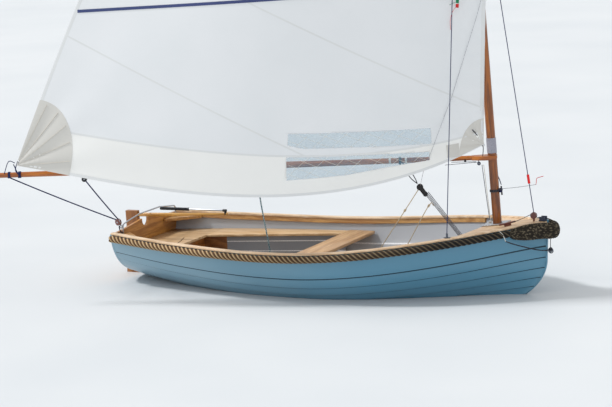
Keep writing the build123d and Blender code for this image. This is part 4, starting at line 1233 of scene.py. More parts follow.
def sailMesh():
    columns, rows = sailSpec["columns"], sailSpec["rows"]
    heights = sorted([k / rows for k in range(rows + 1)] + [sailSpec["footPanel"]])
    mesh = bmesh.new()
    layer = mesh.loops.layers.uv.new("lay")
    grid = [[mesh.verts.new(sailPoint(k / columns, t)) for k in range(columns + 1)] for t in heights]
    for r in range(len(heights) - 1):
        for k in range(columns):
            face = mesh.faces.new((grid[r][k], grid[r][k + 1], grid[r + 1][k + 1], grid[r + 1][k]))
            face.smooth = True
            face.material_index = 1 if heights[r + 1] <= sailSpec["footPanel"] + 1e-6 else 0
    cutWindows(mesh)
    for face in mesh.faces:
        for loop in face.loops:
            loop[layer].uv = flatPlace(loop.vert.co)
    return mesh


def makeSail():
    mesh = sailMesh()
    data = bpy.data.meshes.new("sail")
    mesh.to_mesh(data)
    whole = bpy.data.objects.new("sailWhole", data)
    collection.objects.link(whole)
    for mat in (sailCloth, footCloth, windowFilm):
        data.materials.append(mat)
    pick(whole)
    bpy.ops.object.mode_set(mode="EDIT")
    bpy.ops.mesh.separate(type="MATERIAL")
    bpy.ops.object.mode_set(mode="OBJECT")
    parts = list(bpy.context.selected_objects)
    film = next(o for o in parts if o.data.materials[0] == windowFilm)
    cloth = [o for o in parts if o != film]
    deselectAll()
    for o in cloth:
        o.select_set(True)
    bpy.context.view_layer.objects.active = cloth[0]
    bpy.ops.object.join()
    cloth = cloth[0]
    mended(cloth, merge=0.00001, outwards=False)
    cloth.name, film.name = "sailCloth", "sailFilm"
    applied(cloth, "SOLIDIFY", thickness=sailSpec["thick"], offset=0)
    applied(film, "SOLIDIFY", thickness=sailSpec["thick"] / 2, offset=0)
    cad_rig.replaces(cloth, "sail")
    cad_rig.replaces(film, "sail_windows")
    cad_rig.slot(cloth, "sailcloth")
    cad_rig.slot(film, "window_film")
    for piece in (cloth, film):
        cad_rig.ride(piece, "rig")
    return cloth, film


cloth, film = makeSail()
print("sail made", len(cloth.data.polygons), len(film.data.polygons))


def sewnOn(piece, thick):
    applied(piece, "SOLIDIFY", thickness=thick, offset=0)
    smoothed(piece, 40)
    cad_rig.slot(piece, "sailcloth")
    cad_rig.ride(piece, "rig")


# A tape along the sail, its course in shares of the luff-to-leech and foot-to-head runs
def strip(name, course, width, mat, thick=0.0026):
    points, faces, uvs = [], [], []
    spots = [sailPoint(s, t) for s, t in course]
    normals = [sailNormal(s, t) for s, t in course]
    distance = 0.0
    for k, place in enumerate(spots):
        distance += (place - spots[k - 1]).length if k else 0.0
        ahead = spots[min(k + 1, len(spots) - 1)] - spots[max(k - 1, 0)]
        side = normals[k].cross(ahead).normalized() * width / 2
        points += [place - side, place + side]
        if k:
            faces.append((2 * k - 2, 2 * k - 1, 2 * k + 1, 2 * k))
            before = distance - (place - spots[k - 1]).length
            uvs += [(before, -width / 2), (before, width / 2), (distance, width / 2), (distance, -width / 2)]
    sewnOn(meshPiece(name, points, faces, mat, uvs), thick)


# Each hem: width, and its edge as a share of the run it closes; seams rise aft by slope, in the rig's frame
hemSpec = {"acrossRun": 3.0, "upRun": 4.2, "steps": 90,
           "edges": (("leech", 0.024, 1.0, None), ("luff", 0.032, 0, None),
                     ("foot", 0.020, None, 0.0), ("head", 0.036, None, 1.0))}
seamSpec = {"slope": 0.573, "first": -0.096, "apart": 0.956, "count": 6, "steps": 120, "width": 0.012,
            "foot": 0.014,
            "top": 0.995, "footFrom": 0.012, "footRun": 0.976}
battenSpec = {"aft": 2.935, "run": 1.95, "up": 1.816, "fall": 0.008, "steps": 60, "width": 0.022,
              "thick": 0.006}


def makeHems():
    steps = hemSpec["steps"]
    for word, width, s, t in hemSpec["edges"]:
        if t is None:
            across = abs(s - width / 2 / hemSpec["acrossRun"])
            course = [(across, k / steps) for k in range(steps + 1)]
        else:
            up = abs(t - width / 2 / hemSpec["upRun"])
            course = [(k / steps, up) for k in range(steps + 1)]
        strip("hem." + word, course, width, tapeCloth)


def seamAt(s, k):
    low, high = 0.0, 1.0
    for turn in range(24):
        t = (low + high) / 2
        place = sailRig(s, t)
        if place.z - seamSpec["slope"] * place.x > seamSpec["first"] + seamSpec["apart"] * k:
            high = t
        else:
            low = t
    return s, t


def makeSeams():
    steps = hemSpec["steps"]
    foot = [(seamSpec["footFrom"] + seamSpec["footRun"] * k / steps, sailSpec["footPanel"])
            for k in range(steps + 1)]
    strip("seam.foot", foot, seamSpec["foot"], tapeCloth)
    for k in range(seamSpec["count"]):
        course = [seamAt(j / seamSpec["steps"], k) for j in range(seamSpec["steps"] + 1)]
        course = [(s, t) for s, t in course if sailSpec["footPanel"] < t < seamSpec["top"]]
        if len(course) > 4:
            strip("seam.panel%d" % k, course, seamSpec["width"], tapeCloth)
    steps = battenSpec["steps"]
    batten = [sailAt(battenSpec["aft"] - battenSpec["run"] * k / steps,
                     battenSpec["up"] - battenSpec["fall"] * k / steps)
              for k in range(steps + 1)]
    strip("battenTape", batten, battenSpec["width"], navyCloth, battenSpec["thick"])


# Corner patches: corner, reach along and up as shares, layers, each smaller and thicker than the one below
patchSpec = {"rings": 30, "spokes": 36, "thick": 0.0052, "layer": 0.0018, "first": 1.0, "second": 0.5,
             "less": 0.09,
             "corners": (("clew", (1, 0), (0.117, 0.112), 5), ("tack", (0, 0), (0.052, 0.140), 4),
                         ("throat", (0, 1), (0.16, 0.075), 3), ("peak", (1, 1), (0.30, 0.09), 3)),
             "small": {"aft": 0.274, "up": 0.648, "fall": 0.098, "width": 0.094, "thick": 0.0064},
             "stitch": {"count": 5, "from": 12, "apart": 17, "reach": 0.96, "steps": 24, "width": 0.0030,
                        "above": 0.0016}}


def cornerPatch(name, corner, reach, mat, thick):
    s0, t0 = corner
    points, faces, uvs = [], [], []
    rings, spokes = patchSpec["rings"], patchSpec["spokes"]
    for r in range(rings + 1):
        for k in range(spokes + 1):
            angle = math.pi / 2 * k / spokes
            s = abs(s0 - reach[0] * r / rings * math.cos(angle))
            t = abs(t0 - reach[1] * r / rings * math.sin(angle))
            points.append(sailPoint(s, t))
    for r in range(rings):
        for k in range(spokes):
            a = r * (spokes + 1) + k
            loop = (a, a + 1, a + spokes + 2, a + spokes + 1)
            faces.append(loop)
            uvs += [flatPlace(points[v]) for v in loop]
    piece = meshPiece(name, points, faces, mat, uvs)
    mended(piece, merge=0.00001, outwards=False)
    sewnOn(piece, thick)


def makePatches():
    small, stitch = patchSpec["small"], patchSpec["stitch"]
    course = [sailAt(small["aft"], small["up"] - small["fall"] * k / 12) for k in range(13)]
    strip("patch.small", course, small["width"], patchCloth, small["thick"])
    across, up = patchSpec["corners"][0][2]
    thick = patchSpec["thick"] + patchSpec["layer"] * 4 + stitch["above"]
    for k in range(stitch["count"]):
        angle = math.radians(stitch["from"] + stitch["apart"] * k)
        shares = [stitch["reach"] * j / stitch["steps"] for j in range(1, stitch["steps"] + 1)]
        course = [(1 - across * part * math.cos(angle), up * part * math.sin(angle)) for part in shares]
        strip("patch.clewStitch%d" % k, course, stitch["width"], beigeCloth, thick)
    for name, corner, reach, layers in patchSpec["corners"]:
        for k in range(layers):
            size = patchSpec["first"] - patchSpec["second"] * (k > 0) - patchSpec["less"] * k
            cornerPatch("patch.%s%d" % (name, k), corner, (reach[0] * size, reach[1] * size), patchCloth,
                        patchSpec["thick"] + patchSpec["layer"] * k)


makeHems()
makeSeams()
makePatches()
print("seams and patches made")


def makeScrim():
    points, faces = [], []
    for corners in (windowSpec["upper"], windowSpec["lower"]):
        lowX, highX = min(c[0] for c in corners), max(c[0] for c in corners)
        lowY, highY = min(c[1] for c in corners), max(c[1] for c in corners)
        for angle in windowSpec["slopes"]:
            way = Vector((math.cos(math.radians(angle)), math.sin(math.radians(angle))))
            square = Vector((-way.y, way.x))
            middle = Vector(((lowX + highX) / 2, (lowY + highY) / 2))
            for k in range(-20, 21):
                start = middle + square * (windowSpec["spacing"] * abs(way.y) * k)
                run = [start + way * (windowSpec["stride"] * j) for j in range(-60, 61)]
                run = [p for p in run if insideOutline(p.x, p.y, corners)]
                if len(run) < 3:
                    continue
                base = len(points)
                for p in run:
                    for edge in (-1, 1):
                        q = p + square * edge * windowSpec["thread"] / 2
                        points.append(sailPoint(*sailAt(q.x, q.y), lift=windowSpec["lift"]))
                for j in range(len(run) - 1):
                    a = base + 2 * j
                    faces.append((a, a + 1, a + 3, a + 2))
    piece = meshPiece("windowScrim", points, faces, whiteLine)
    applied(piece, "SOLIDIFY", thickness=windowSpec["threadThick"], offset=0)
    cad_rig.slot(piece, "window_film")
    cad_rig.ride(piece, "rig")


makeScrim()
print("window threads made")

# Rigging and small fittings

def drum(name, centre, way, radius, depth, mat, body, bevel=0.0015, sides=24):
    deselectAll()
    bpy.ops.mesh.primitive_cylinder_add(vertices=sides, radius=radius, depth=depth)
    piece = bpy.context.object
    piece.name = name
    applied(piece, "BEVEL", width=bevel, segments=3, limit_method="ANGLE", angle_limit=math.radians(40))
    piece.rotation_mode = "QUATERNION"
    piece.rotation_quaternion = Vector(way).to_track_quat("Z", "Y")
    piece.location = Vector(centre)
    settled(piece)
    smoothed(piece, 35)
    piece.data.materials.append(mat)
    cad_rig.ride(piece, body)
    return piece


# A block's pieces as shares of its radius and of its depth
pulleySpec = {"depth": 0.95, "cheekAt": 0.36, "cheek": 0.24, "sheave": 0.84, "sheaveDepth": 0.46,
              "pin": 0.24, "pinDepth": 1.06}


def pulley(name, centre, axle, radius, mat, body):
    centre, way, depth = Vector(centre), Vector(axle).normalized(), radius * pulleySpec["depth"]
    off, cheek = way * depth * pulleySpec["cheekAt"], depth * pulleySpec["cheek"]
    drum(name + ".near", centre - off, way, radius, cheek, mat, body)
    drum(name + ".far", centre + off, way, radius, cheek, mat, body)
    drum(name + ".sheave", centre, way, radius * pulleySpec["sheave"], depth * pulleySpec["sheaveDepth"],
         alloy, body)
    drum(name + ".pin", centre, way, radius * pulleySpec["pin"], depth * pulleySpec["pinDepth"], steel, body,
         0.0006, 16)


def coil(name, centre, way, radius, wire, turns, rise, mat, body):
    axis = Vector(way).normalized()
    first = axis.orthogonal().normalized()
    second = axis.cross(first)
    count = int(turns * 24)
    points = []
    for k in range(count + 1):
        angle = 2 * math.pi * turns * k / count
        points.append(Vector(centre) + axis * (rise * (k / count - 0.5))
                      + (first * math.cos(angle) + second * math.sin(angle)) * radius)
    return line(name, points, wire, mat, body, sides=6, straight=True)


def boomAt(aft, drop=0.0, out=0.0):
    rise = aft * math.tan(math.radians(rigSpec["boomRise"]))
    return rigPlace(aft, out, rigSpec["hingeUp"] + rise - drop)


def overSail(aft, up, lift):
    return rigPlace(aft, sailRig(*sailAt(aft, up)).y + lift, up)


redPlastic = plasticMaterial("redPlastic", (214, 24, 26), 0.4)
bandCloth = plasticMaterial("bandCloth", (206, 200, 192), 0.7)
grooveDark = plasticMaterial("grooveDark", (62, 44, 30), 0.7)
paleLine = lineMaterial("paleLine", (150, 152, 158), (210, 212, 214), 0.5)

kickerSpec = {"boomAft": 0.675,
              "top": (0.545, 0.0, 0.328), "low": (0.509, 0.0, 0.272), "foot": (0.075, 0.0, -0.36),
              "strop": 0.0034, "part": 0.0028, "spread": (-0.012, 0.012),
              "strops": ((0.625, 1.4, 0.455), (0.590, 1.2, 0.395), (0.562, 0.0, 0.355)),
              "partTop": 0.290, "partMiddle": -0.03, "partLow": -0.35,
              "parts": ((0.524, 0.089, -0.010), (0.512, 0.082, -0.004), (0.500, 0.072, 0.004),
                        (0.487, 0.062, 0.010))}
kickerTop, kickerLow = rigPlace(*kickerSpec["top"]), rigPlace(*kickerSpec["low"])
axle = rigPlace(0, 1, 0) - rigPlace(0, 0, 0)


def makeKicker():
    for k, way in enumerate(kickerSpec["spread"]):
        route = [boomAt(kickerSpec["boomAft"] + way, 0.015)]
        route += [rigPlace(aft + way * wider, 0, up) for aft, wider, up in kickerSpec["strops"]]
        line("kickerStrop%d" % k, route, kickerSpec["strop"], blackLine, "rig", step=0.01)
    coil("kickerWrap", boomAt(kickerSpec["boomAft"]), aftWay, 0.0245, 0.0032, 3, 0.016, blackLine, "rig")
    pulley("kickerBlock", kickerTop, axle, 0.024, blackPlastic, "rig")
    pulley("kickerLowBlock", kickerLow, axle, 0.017, blackPlastic, "rig")
    drum("kickerBody", kickerTop.lerp(kickerLow, 0.42), kickerLow - kickerTop, 0.017, 0.086, blackPlastic,
         "rig", 0.008)
    pulley("kickerFootBlock", rigPlace(*kickerSpec["foot"]), axle, 0.020, blackPlastic, "rig")
    for k, (aft, low, out) in enumerate(kickerSpec["parts"]):
        route = [rigPlace(aft, out, kickerSpec["partTop"]),
                 rigPlace((aft + low) / 2, out, kickerSpec["partMiddle"]),
                 rigPlace(low, out, kickerSpec["partLow"])]
        line("kickerPart%d" % k, route, kickerSpec["part"], greyLine, "rig", sides=6)


downhaulSpec = {"underBoom": (((0.347, 0.035, 0.483), (0.105, 0.035, 0.488)),
                              ((0.300, 0.030, 0.500), (0.120, 0.034, 0.492))),
                "block": (0.099, 0.035, 0.477), "cleat": (0.199, 0.010, 0.500), "foot": (0.050, 0.036, 0.042),
                "falls": ((0.078, 0.052, greyLine), (0.066, 0.046, whiteLine)),
                "tackLine": ((0.099, 0.045, 0.669), (0.082, 0.04, 0.64), (0.060, 0.038, 0.603),
                             (0.066, 0.036, 0.54))}


def makeDownhaul():
    for k, course in enumerate(downhaulSpec["underBoom"]):
        line("underBoom%d" % k, [rigPlace(*p) for p in course], 0.0022, greyLine, "rig", sides=6)
    pulley("tackBlock", rigPlace(*downhaulSpec["block"]), axle, 0.013, blueBlack, "rig")
    drum("boomCleat", rigPlace(*downhaulSpec["cleat"]), mastUp, 0.008, 0.020, blackPlastic, "rig")
    line("tackHanger", [rigPlace(0.099, 0.035, 0.49), boomAt(0.105, 0.0, 0.024)], 0.003, blackLine, "rig",
         step=0.01)
    for k, (aft, foot, mat) in enumerate(downhaulSpec["falls"]):
        route = [rigPlace(aft, 0.035, 0.466), rigPlace((aft + foot) / 2, 0.036, 0.25),
                 rigPlace(foot, 0.036, 0.050)]
        line("downhaul%d" % k, route, 0.0026, mat, "rig", sides=6)
    pulley("downhaulBlock", rigPlace(*downhaulSpec["foot"]), axle, 0.012, alloy, "rig")
    route = [rigPlace(*p) for p in downhaulSpec["tackLine"]] + [boomAt(0.075, -0.004, 0.024)]
    line("tackLine", route, 0.0030, blackLine, "rig", step=0.01)
    coil("tackRing", rigPlace(0.060, 0.039, 0.612), axle, 0.010, 0.0022, 2, 0.004, steel, "rig")
    route = [overSail(0.125, 0.735, 0.006), overSail(0.105, 0.705, 0.008), rigPlace(0.070, 0.045, 0.650)]
    line("tackHook", route, 0.0036, blackLine, "rig", step=0.01)


clewSpec = {"out": 0.034,
            "lashing": ((3.518, 0.735), (3.541, 0.668), (3.508, 0.621), (3.530, 0.655), (3.552, 0.715)),
            "wrapAft": 3.520, "eye": (3.500, 0.722, 0.003)}


def makeClew():
    out = clewSpec["out"]
    lashing = [rigPlace(aft, out, up) for aft, up in clewSpec["lashing"]]
    line("clewLashing", lashing, 0.0036, navyLine, "rig", step=0.01)
    outhaul = [rigPlace(3.540, out, 0.724), rigPlace(3.590, out * 0.7, 0.735), boomAt(3.640, 0.0, 0.012)]
    line("outhaul", outhaul, 0.0032, navyLine, "rig", step=0.01)
    coil("clewWrap", boomAt(clewSpec["wrapAft"]), aftWay, 0.0225, 0.0034, 4, 0.020, navyLine, "rig")
    coil("clewEye", overSail(*clewSpec["eye"]), outWay, 0.014, 0.0028, 2, 0.003, steel, "rig")


sheetSpec = {"traveller": (-1.680, -0.415, 0.487), "blockAft": 3.035, "endAft": 3.600, "middleAft": 1.735,
             "rope": 0.0048, "fall": 0.0052, "sag": 0.007, "points": 60, "runs": 9, "runFrom": 1.80,
             "runStep": 0.14,
             "fallRoute": ((-0.335, -0.448, 0.290), (-0.341, -0.45, 0.372), (-0.394, -0.45, 0.735))}
traveller = Vector(sheetSpec["traveller"])


# A line from hull to rig follows both as the rig swings
def acrossRig(piece, low, top):
    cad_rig.blend(piece, "hull", "rig", start=tuple(low), end=tuple(top))


def makeMainsheet():
    pulley("travellerBlock", traveller, (0.3, 1.0, 0.1), 0.026, blockWood, "hull")
    hook = traveller + Vector((0.018, 0.006, -0.036))
    coil("travellerHook", hook, (0.2, 1, 0), 0.012, 0.003, 2, 0.006, steel, "hull")
    route = [traveller + Vector((0.004, 0.004, -0.03)), (-1.676, -0.412, 0.435), (-1.660, -0.405, 0.392)]
    line("travellerDown", route, 0.0042, blackLine, "hull", step=0.01)
    coil("travellerKnot", (-1.660, -0.404, 0.396), (0, 0, 1), 0.0095, 0.004, 3, 0.020, blackLine, "hull")
    aft = sheetSpec["blockAft"]
    high = boomAt(aft, 0.052)
    pulley("boomBlock", high, outWay, 0.020, blackPlastic, "rig")
    coil("boomBlockStrop", boomAt(aft), aftWay, 0.0235, 0.0036, 3, 0.016, blackLine, "rig")
    line("boomBlockHanger", [boomAt(aft, 0.022), boomAt(aft, 0.040)], 0.005, blackLine, "rig", step=0.005)
    end = boomAt(sheetSpec["endAft"], 0.020)
    coil("boomEndWrap", boomAt(sheetSpec["endAft"]), aftWay, 0.0215, 0.0038, 3, 0.018, navyLine, "rig")
    runs = (("mainsheet.fore", high, traveller + Vector((0, 0, 0.022))),
            ("mainsheet.aft", end, traveller + Vector((-0.012, 0, 0.016))))
    count = sheetSpec["points"]
    for name, top, low in runs:
        sag = sheetSpec["sag"] * 4 * (top - low).length / 1.2
        points = [low.lerp(top, k / count) - Vector((0, 0, sag * k / count * (1 - k / count)))
                  for k in range(count + 1)]
        acrossRig(line(name, points, sheetSpec["rope"], navyLine, None, straight=True), low, top)
    for k in range(sheetSpec["runs"]):
        first = sheetSpec["runFrom"] + sheetSpec["runStep"] * k
        run = [boomAt(first, 0.026), boomAt(first + sheetSpec["runStep"], 0.026)]
        line("sheetRun%d" % k, run, 0.0042, navyLine, "rig", sides=6)
    aft = sheetSpec["middleAft"]
    pulley("middleBlock", boomAt(aft, 0.046), outWay, 0.020, blackPlastic, "rig")
    coil("middleStrop", boomAt(aft), aftWay, 0.0260, 0.0036, 3, 0.016, blackLine, "rig")
    low, top = Vector(sheetSpec["fallRoute"][0]), boomAt(1.720, 0.060)
    route = smoothPath([*sheetSpec["fallRoute"], top], 0.02)
    acrossRig(line("sheetFall", route, sheetSpec["fall"], tealLine, None, straight=True), low, top)
    pulley("benchBlock", (-0.333, -0.448, 0.288), (0, 1, 0.1), 0.018, blackPlastic, "hull")


# Each from its foot through a bend and a knot to the kicker, and the lazy line's points over the sail
controlSpec = {"controlAft": ((0.340, -0.300, 0.120), (0.512, -0.300, 0.354), (0.727, -0.300, 0.647),
                              kickerTop),
               "controlFore": ((0.575, -0.300, 0.135), (0.737, -0.300, 0.395), (0.921, -0.300, 0.690),
                               rigPlace(0.455, 0, 0.185))}
lazySpec = {"radius": 0.0016, "lift": 0.010, "top": (-0.030, 0.045, 1.760), "low": (0.490, 0.12, 0.489),
            "over": ((0.012, 1.609), (0.135, 1.291), (0.254, 0.987), (0.288, 0.916), (0.329, 0.826),
                     (0.430, 0.608))}


def makeControlLines():
    for name, route in controlSpec.items():
        low, bend, knotPlace, top = [Vector(p) for p in route]
        points = smoothPath([low, bend, knotPlace, top], 0.02)
        acrossRig(line(name, points, 0.0034, beigeLine, None, sides=6, straight=True), low, top)
        knot = coil(name + ".knot", knotPlace, knotPlace - bend, 0.0055, 0.0030, 4, 0.022, beigeLine, None)
        acrossRig(knot, low, top)
        pulley(name + ".foot", low, (0, 1, 0), 0.014, blackPlastic, "hull")
    points = [overSail(aft, up, lazySpec["lift"]) for aft, up in lazySpec["over"]]
    points = [rigPlace(*lazySpec["top"])] + points + [rigPlace(*lazySpec["low"]), kickerTop]
    line("lazyLine", points, lazySpec["radius"], paleLine, "rig", sides=6)


mastSpec = {"strapUp": 0.762, "sheaveUp": 3.520, "ringUp": 2.620, "halyard": 0.0034,
            "stayWay": (-0.1267, 0, 0.9919)}


def mastAxis(up):
    return hingePlace + mastUp * ((up - hingePlace.z) / mastUp.z)


def makeMastFittings():
    coil("mastStrap", mastAxis(mastSpec["strapUp"]), mastUp, 0.0355, 0.0040, 3, 0.016, blackLine, "hull")
    drum("strapBlock", (1.3640, -0.004, 0.772), (1, 0, 0.3), 0.011, 0.030, blueBlack, "hull", 0.003)
    line("jibTether", [(1.376, 0, 0.777), (1.500, 0, 0.792), (1.643, 0, 0.816)], 0.0016, greyLine, "hull",
         sides=6)
    tail = [(1.643, 0, 0.816), (1.647, 0, 0.838), (1.651, 0, 0.862), (1.676, 0, 0.872), (1.704, 0, 0.880)]
    line("redTail", tail, 0.0022, redLine, "hull", step=0.006)
    drum("stayMarker", (1.5865, 0, 0.855), mastSpec["stayWay"], 0.0095, 0.066, redPlastic, "hull", 0.003)
    sheave = mastAxis(mastSpec["sheaveUp"])
    pulley("masthead", sheave - mastFore * 0.040, (0, 1, 0), 0.020, blackPlastic, "hull")
    route = [mastAxis(mastSpec["ringUp"]) - mastFore * 0.046, mastAxis(3.05) - mastFore * 0.044,
             sheave - mastFore * 0.058]
    line("halyardUp", route, mastSpec["halyard"], navyLine, "hull")
    route = [sheave + Vector((-0.030, 0.018, 0)), mastAxis(3.30) + Vector((0, 0.040, 0)),
             mastAxis(2.0) + Vector((0, 0.041, 0)), mastAxis(1.0) + Vector((0.004, 0.043, 0)),
             (1.358, 0.030, 0.800)]
    line("halyardDown", route, mastSpec["halyard"], navyLine, "hull")
    coil("halyardTurns", (1.3655, 0, 0.764), (0, 0, 1), 0.0095, 0.0032, 4, 0.026, navyLine, "hull")


lacingSpec = {"turns": 15, "radius": 0.0265, "wire": 0.0024, "bands": (0.630, 0.748)}


def axisEnds(nodeName, depth=0.03):
    spots = [v.co for v in frame["nodes"][nodeName].data.vertices]
    low, high = min(p.z for p in spots), max(p.z for p in spots)
    below = [p for p in spots if p.z < low + depth]
    above = [p for p in spots if p.z > high - depth]
    return sum(below, Vector()) / len(below), sum(above, Vector()) / len(above)


def makeLacing():
    low, high = axisEnds("yard")
    way = (high - low).normalized()
    for k in range(lacingSpec["turns"]):
        edge = sailPoint(0.02 + 0.96 * k / (lacingSpec["turns"] - 1), 0.997)
        centre = low + way * (edge - low).dot(way)
        coil("headLacing%d" % k, centre, way, lacingSpec["radius"], lacingSpec["wire"], 2, 0.009, whiteLine,
             "rig")
    for k, aft in enumerate(lacingSpec["bands"]):
        drum("boomBand%d" % k, boomAt(aft), aftWay, 0.0240, 0.016, bandCloth, "rig")


painterSpec = {"eye": (1.738, 0, 0.338),
               "route": ((1.712, -0.040, 0.341), (1.664, -0.082, 0.352), (1.600, -0.152, 0.383),
                                                  (1.541, -0.214, 0.414), (1.500, -0.262, 0.442))}


def makeForwardLines():
    eye = Vector(painterSpec["eye"])
    line("painter", [eye + Vector((0, -0.006, 0)), *painterSpec["route"]], 0.0042, blackLine, "hull",
         step=0.01)
    knot, ring = eye + Vector((0.002, -0.004, 0.006)), eye + Vector((0.004, -0.004, -0.004))
    coil("painterKnot", knot, (0.3, 1, 0.2), 0.0095, 0.004, 3, 0.014, blackLine, "hull")
    coil("painterRing", ring, (0.15, 1, 0.1), 0.0185, 0.0036, 2, 0.004, darkSteel, "hull")
    # name, route, radius, material, step
    table = (("painterRise", [eye + Vector((0.0, 0, 0.010)), (1.740, 0, 0.392), (1.742, 0, 0.440)], 0.0026,
              blackLine, 0.01),
             ("capLine", [(1.500, -0.262, 0.442), (1.478, -0.262, 0.492), (1.440, -0.250, 0.516),
                          (1.415, -0.225, 0.520)],
              0.0026, whiteLine, 0.008),
             ("deckTie", [(1.480, -0.095, 0.545), (1.540, -0.050, 0.568), (1.600, -0.006, 0.596)], 0.0024,
              blackLine, 0.01),
             ("hatchSeam", [(-1.42, 0.125, 0.2686), (-1.369, -0.025, 0.2686), (-1.335, -0.177, 0.2686)],
              0.0026, grooveDark, 0.03))
    for name, route, radius, mat, step in table:
        line(name, route, radius, mat, "hull", step=step)


# The starboard shroud's ends, and each telltale: height, material, how far it blows back
tellSpec = {"foot": (1.120, -0.443, 0.520), "top": (1.224, -0.037, 3.441),
            "tells": (("greenTell", 2.172, greenLine, 0.120), ("redTell", 2.140, redLine, 0.050))}


def makeTelltales():
    foot, top = Vector(tellSpec["foot"]), Vector(tellSpec["top"])
    way = (top - foot).normalized()
    for name, up, mat, back in tellSpec["tells"]:
        place = foot + way * ((up - foot.z) / way.z)
        coil(name + ".wrap", place, way, 0.0085, 0.0036, 4, 0.024, mat, "hull")
        hangs = ((0, 0, 0), (-0.6 * back, -0.01, -0.035), (-back, -0.02, -0.100), (-back, -0.02, -0.170))
        line(name, [place + Vector(off) for off in hangs], 0.0015, mat, "hull", step=0.01, sides=6)


# Half of the rod over the stern, each point across and up
horseSpec = {"x": -1.65, "radius": 0.0058, "foot": 0.014,
             "half": ((0.400, 0.3815), (0.400, 0.430), (0.399, 0.452), (0.392, 0.4635), (0.378, 0.4702),
                      (0.350, 0.4745),
                      (0.250, 0.4884), (0.170, 0.4992), (0.140, 0.5020))}


def makeHorse():
    x = horseSpec["x"]
    half = [(x, -y, z) for y, z in horseSpec["half"]]
    points = half + [(x, -y, z) for x, y, z in half[::-1]]
    horse = line("horseRod", points, horseSpec["radius"], steel, "hull", step=0.01, sides=14)
    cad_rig.replaces(horse, "sheet_horse")
    for side, word in ((-1, "starboard"), (1, "port")):
        drum("horseFoot." + word, (x, side * 0.400, 0.3835), (0, 0, 1), horseSpec["foot"], 0.004, steel,
             "hull")


# Share along the tube, radius, length, material, bevel
extensionSpec = {"aft": (-1.545, 0, 0.5228), "fore": (-0.955, 0, 0.5268), "joint": (-0.958, 0, 0.5080),
                 "pieces": (("Grip", 0.213, 0.0118, 0.252, foamGrip, 0.004),
                            ("Tube", 0.705, 0.0070, 0.350, alloy, 0.001),
                            ("Collar", 0.430, 0.0130, 0.012, blackPlastic, 0.002),
                            ("Joint", None, 0.0095, 0.028, blackPlastic, 0.003),
                            ("Cap", 0.985, 0.0105, 0.034, blackPlastic, 0.003))}


def makeExtension():
    aft, fore = Vector(extensionSpec["aft"]), Vector(extensionSpec["fore"])
    way = (fore - aft).normalized()
    for word, part, radius, length, mat, bevel in extensionSpec["pieces"]:
        place, turn = (extensionSpec["joint"], (0, 0, 1)) if part is None else (aft.lerp(fore, part), way)
        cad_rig.replaces(drum("extension" + word, place, turn, radius, length, mat, "rudder", bevel),
                    "tiller_extension")


makeKicker()
makeDownhaul()
makeClew()
makeMainsheet()
makeControlLines()
makeMastFittings()
makeLacing()
makeForwardLines()
makeTelltales()
makeHorse()
makeExtension()
print("rigging and fittings made")

def declareSail():
    half = sum(face.area for piece in (cloth, film) for face in piece.data.polygons) / 2
    onIt = ("hem", "seam", "patch", "windowScrim", "battenTape")
    hems = [o for o in collection.objects if o.name.split(".")[0] in onIt]
    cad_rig.sheet(cloth, flat=(3.60, 4.40), held="stretched", rests_on=("yard", "boom"), area=round(half, 2),
             with_pieces=[film] + hems)
    print("sail area", round(half, 3))


declareSail()

# Stage and light

stageSpec = {"reach": 60.0, "inset": 0.003, "aft": -1.530}


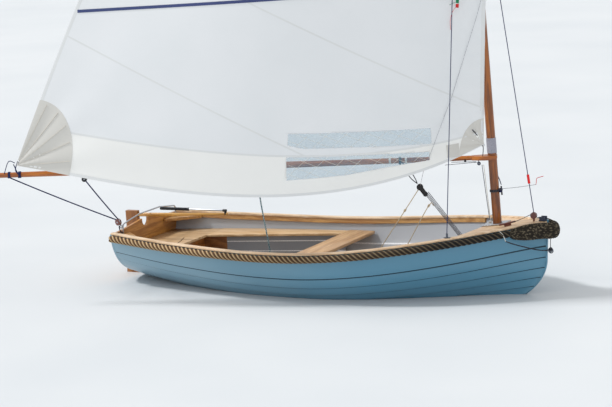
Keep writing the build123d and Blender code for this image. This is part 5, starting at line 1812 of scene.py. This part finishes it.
def makeFloor():
    port = []
    for k in range(81):
        x = stageSpec["aft"] + (stemAt(0.0) - 0.004 - stageSpec["aft"]) * k / 80
        low, high = 0.0, 1.0
        for turn in range(24):
            w = (low + high) / 2
            if moulded(x, w)[1] < 0:
                low = w
            else:
                high = w
        port.append((x, max(0.0005, moulded(x, w)[0] - stageSpec["inset"]), 0))
    inner = port + [(x, -y, z) for x, y, z in port[::-1]]
    outer = [(x / math.hypot(x, y) * stageSpec["reach"], y / math.hypot(x, y) * stageSpec["reach"], 0)
             for x, y, z in inner]
    count = len(inner)
    faces = [(k, (k + 1) % count, count + (k + 1) % count, count + k) for k in range(count)]
    mat = newMaterial("floorPaint", (206, 209, 211), 0.7)
    soft = node(mat, "ShaderNodeTexNoise", {"Vector": objectPlace(mat), "Scale": 0.5, "Detail": 2.0})
    feed(mat, ramp(mat, soft.outputs["Fac"], ((0.3, (202, 206, 209)), (0.7, (209, 212, 214)))), "Base Color")
    floor = meshPiece("floor", inner + outer, faces, mat)
    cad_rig.stage(floor)


lightSpec = {"world": 0.88, "key": 2.0, "keyTurn": (38, 0, -70), "keyAngle": 8, "seen": (221, 222, 224)}


def makeLight():
    world = bpy.data.worlds.new("studio")
    bpy.context.scene.world = world
    world.use_nodes = True
    tree = world.node_tree
    tree.nodes.clear()
    rays = tree.nodes.new("ShaderNodeLightPath")
    seen = tree.nodes.new("ShaderNodeBackground")
    seen.inputs["Color"].default_value = (*tint(*lightSpec["seen"]), 1)
    lit = tree.nodes.new("ShaderNodeBackground")
    lit.inputs["Color"].default_value = (0.97, 0.985, 1.0, 1)
    lit.inputs["Strength"].default_value = lightSpec["world"]
    mix = tree.nodes.new("ShaderNodeMixShader")
    most = tree.nodes.new("ShaderNodeMath")
    most.operation = "MAXIMUM"
    more = tree.nodes.new("ShaderNodeMath")
    more.operation = "MAXIMUM"
    tree.links.new(rays.outputs["Is Camera Ray"], most.inputs[0])
    tree.links.new(rays.outputs["Is Glossy Ray"], most.inputs[1])
    tree.links.new(most.outputs[0], more.inputs[0])
    tree.links.new(rays.outputs["Is Transmission Ray"], more.inputs[1])
    tree.links.new(more.outputs[0], mix.inputs["Fac"])
    tree.links.new(lit.outputs[0], mix.inputs[1])
    tree.links.new(seen.outputs[0], mix.inputs[2])
    out = tree.nodes.new("ShaderNodeOutputWorld")
    tree.links.new(mix.outputs[0], out.inputs["Surface"])
    lamp = bpy.data.lights.new("key", "SUN")
    lamp.energy = lightSpec["key"]
    lamp.angle = math.radians(lightSpec["keyAngle"])
    key = bpy.data.objects.new("key", lamp)
    key.rotation_euler = [math.radians(a) for a in lightSpec["keyTurn"]]
    collection.objects.link(key)
    bpy.context.scene.view_settings.view_transform = "Standard"


makeFloor()
makeLight()
print("stage and light set")

json.dump({"cad": [list(corner) for corner in cadBox], "visual": [list(corner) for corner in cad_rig.bounds()]},
          open("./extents.json", "w"))
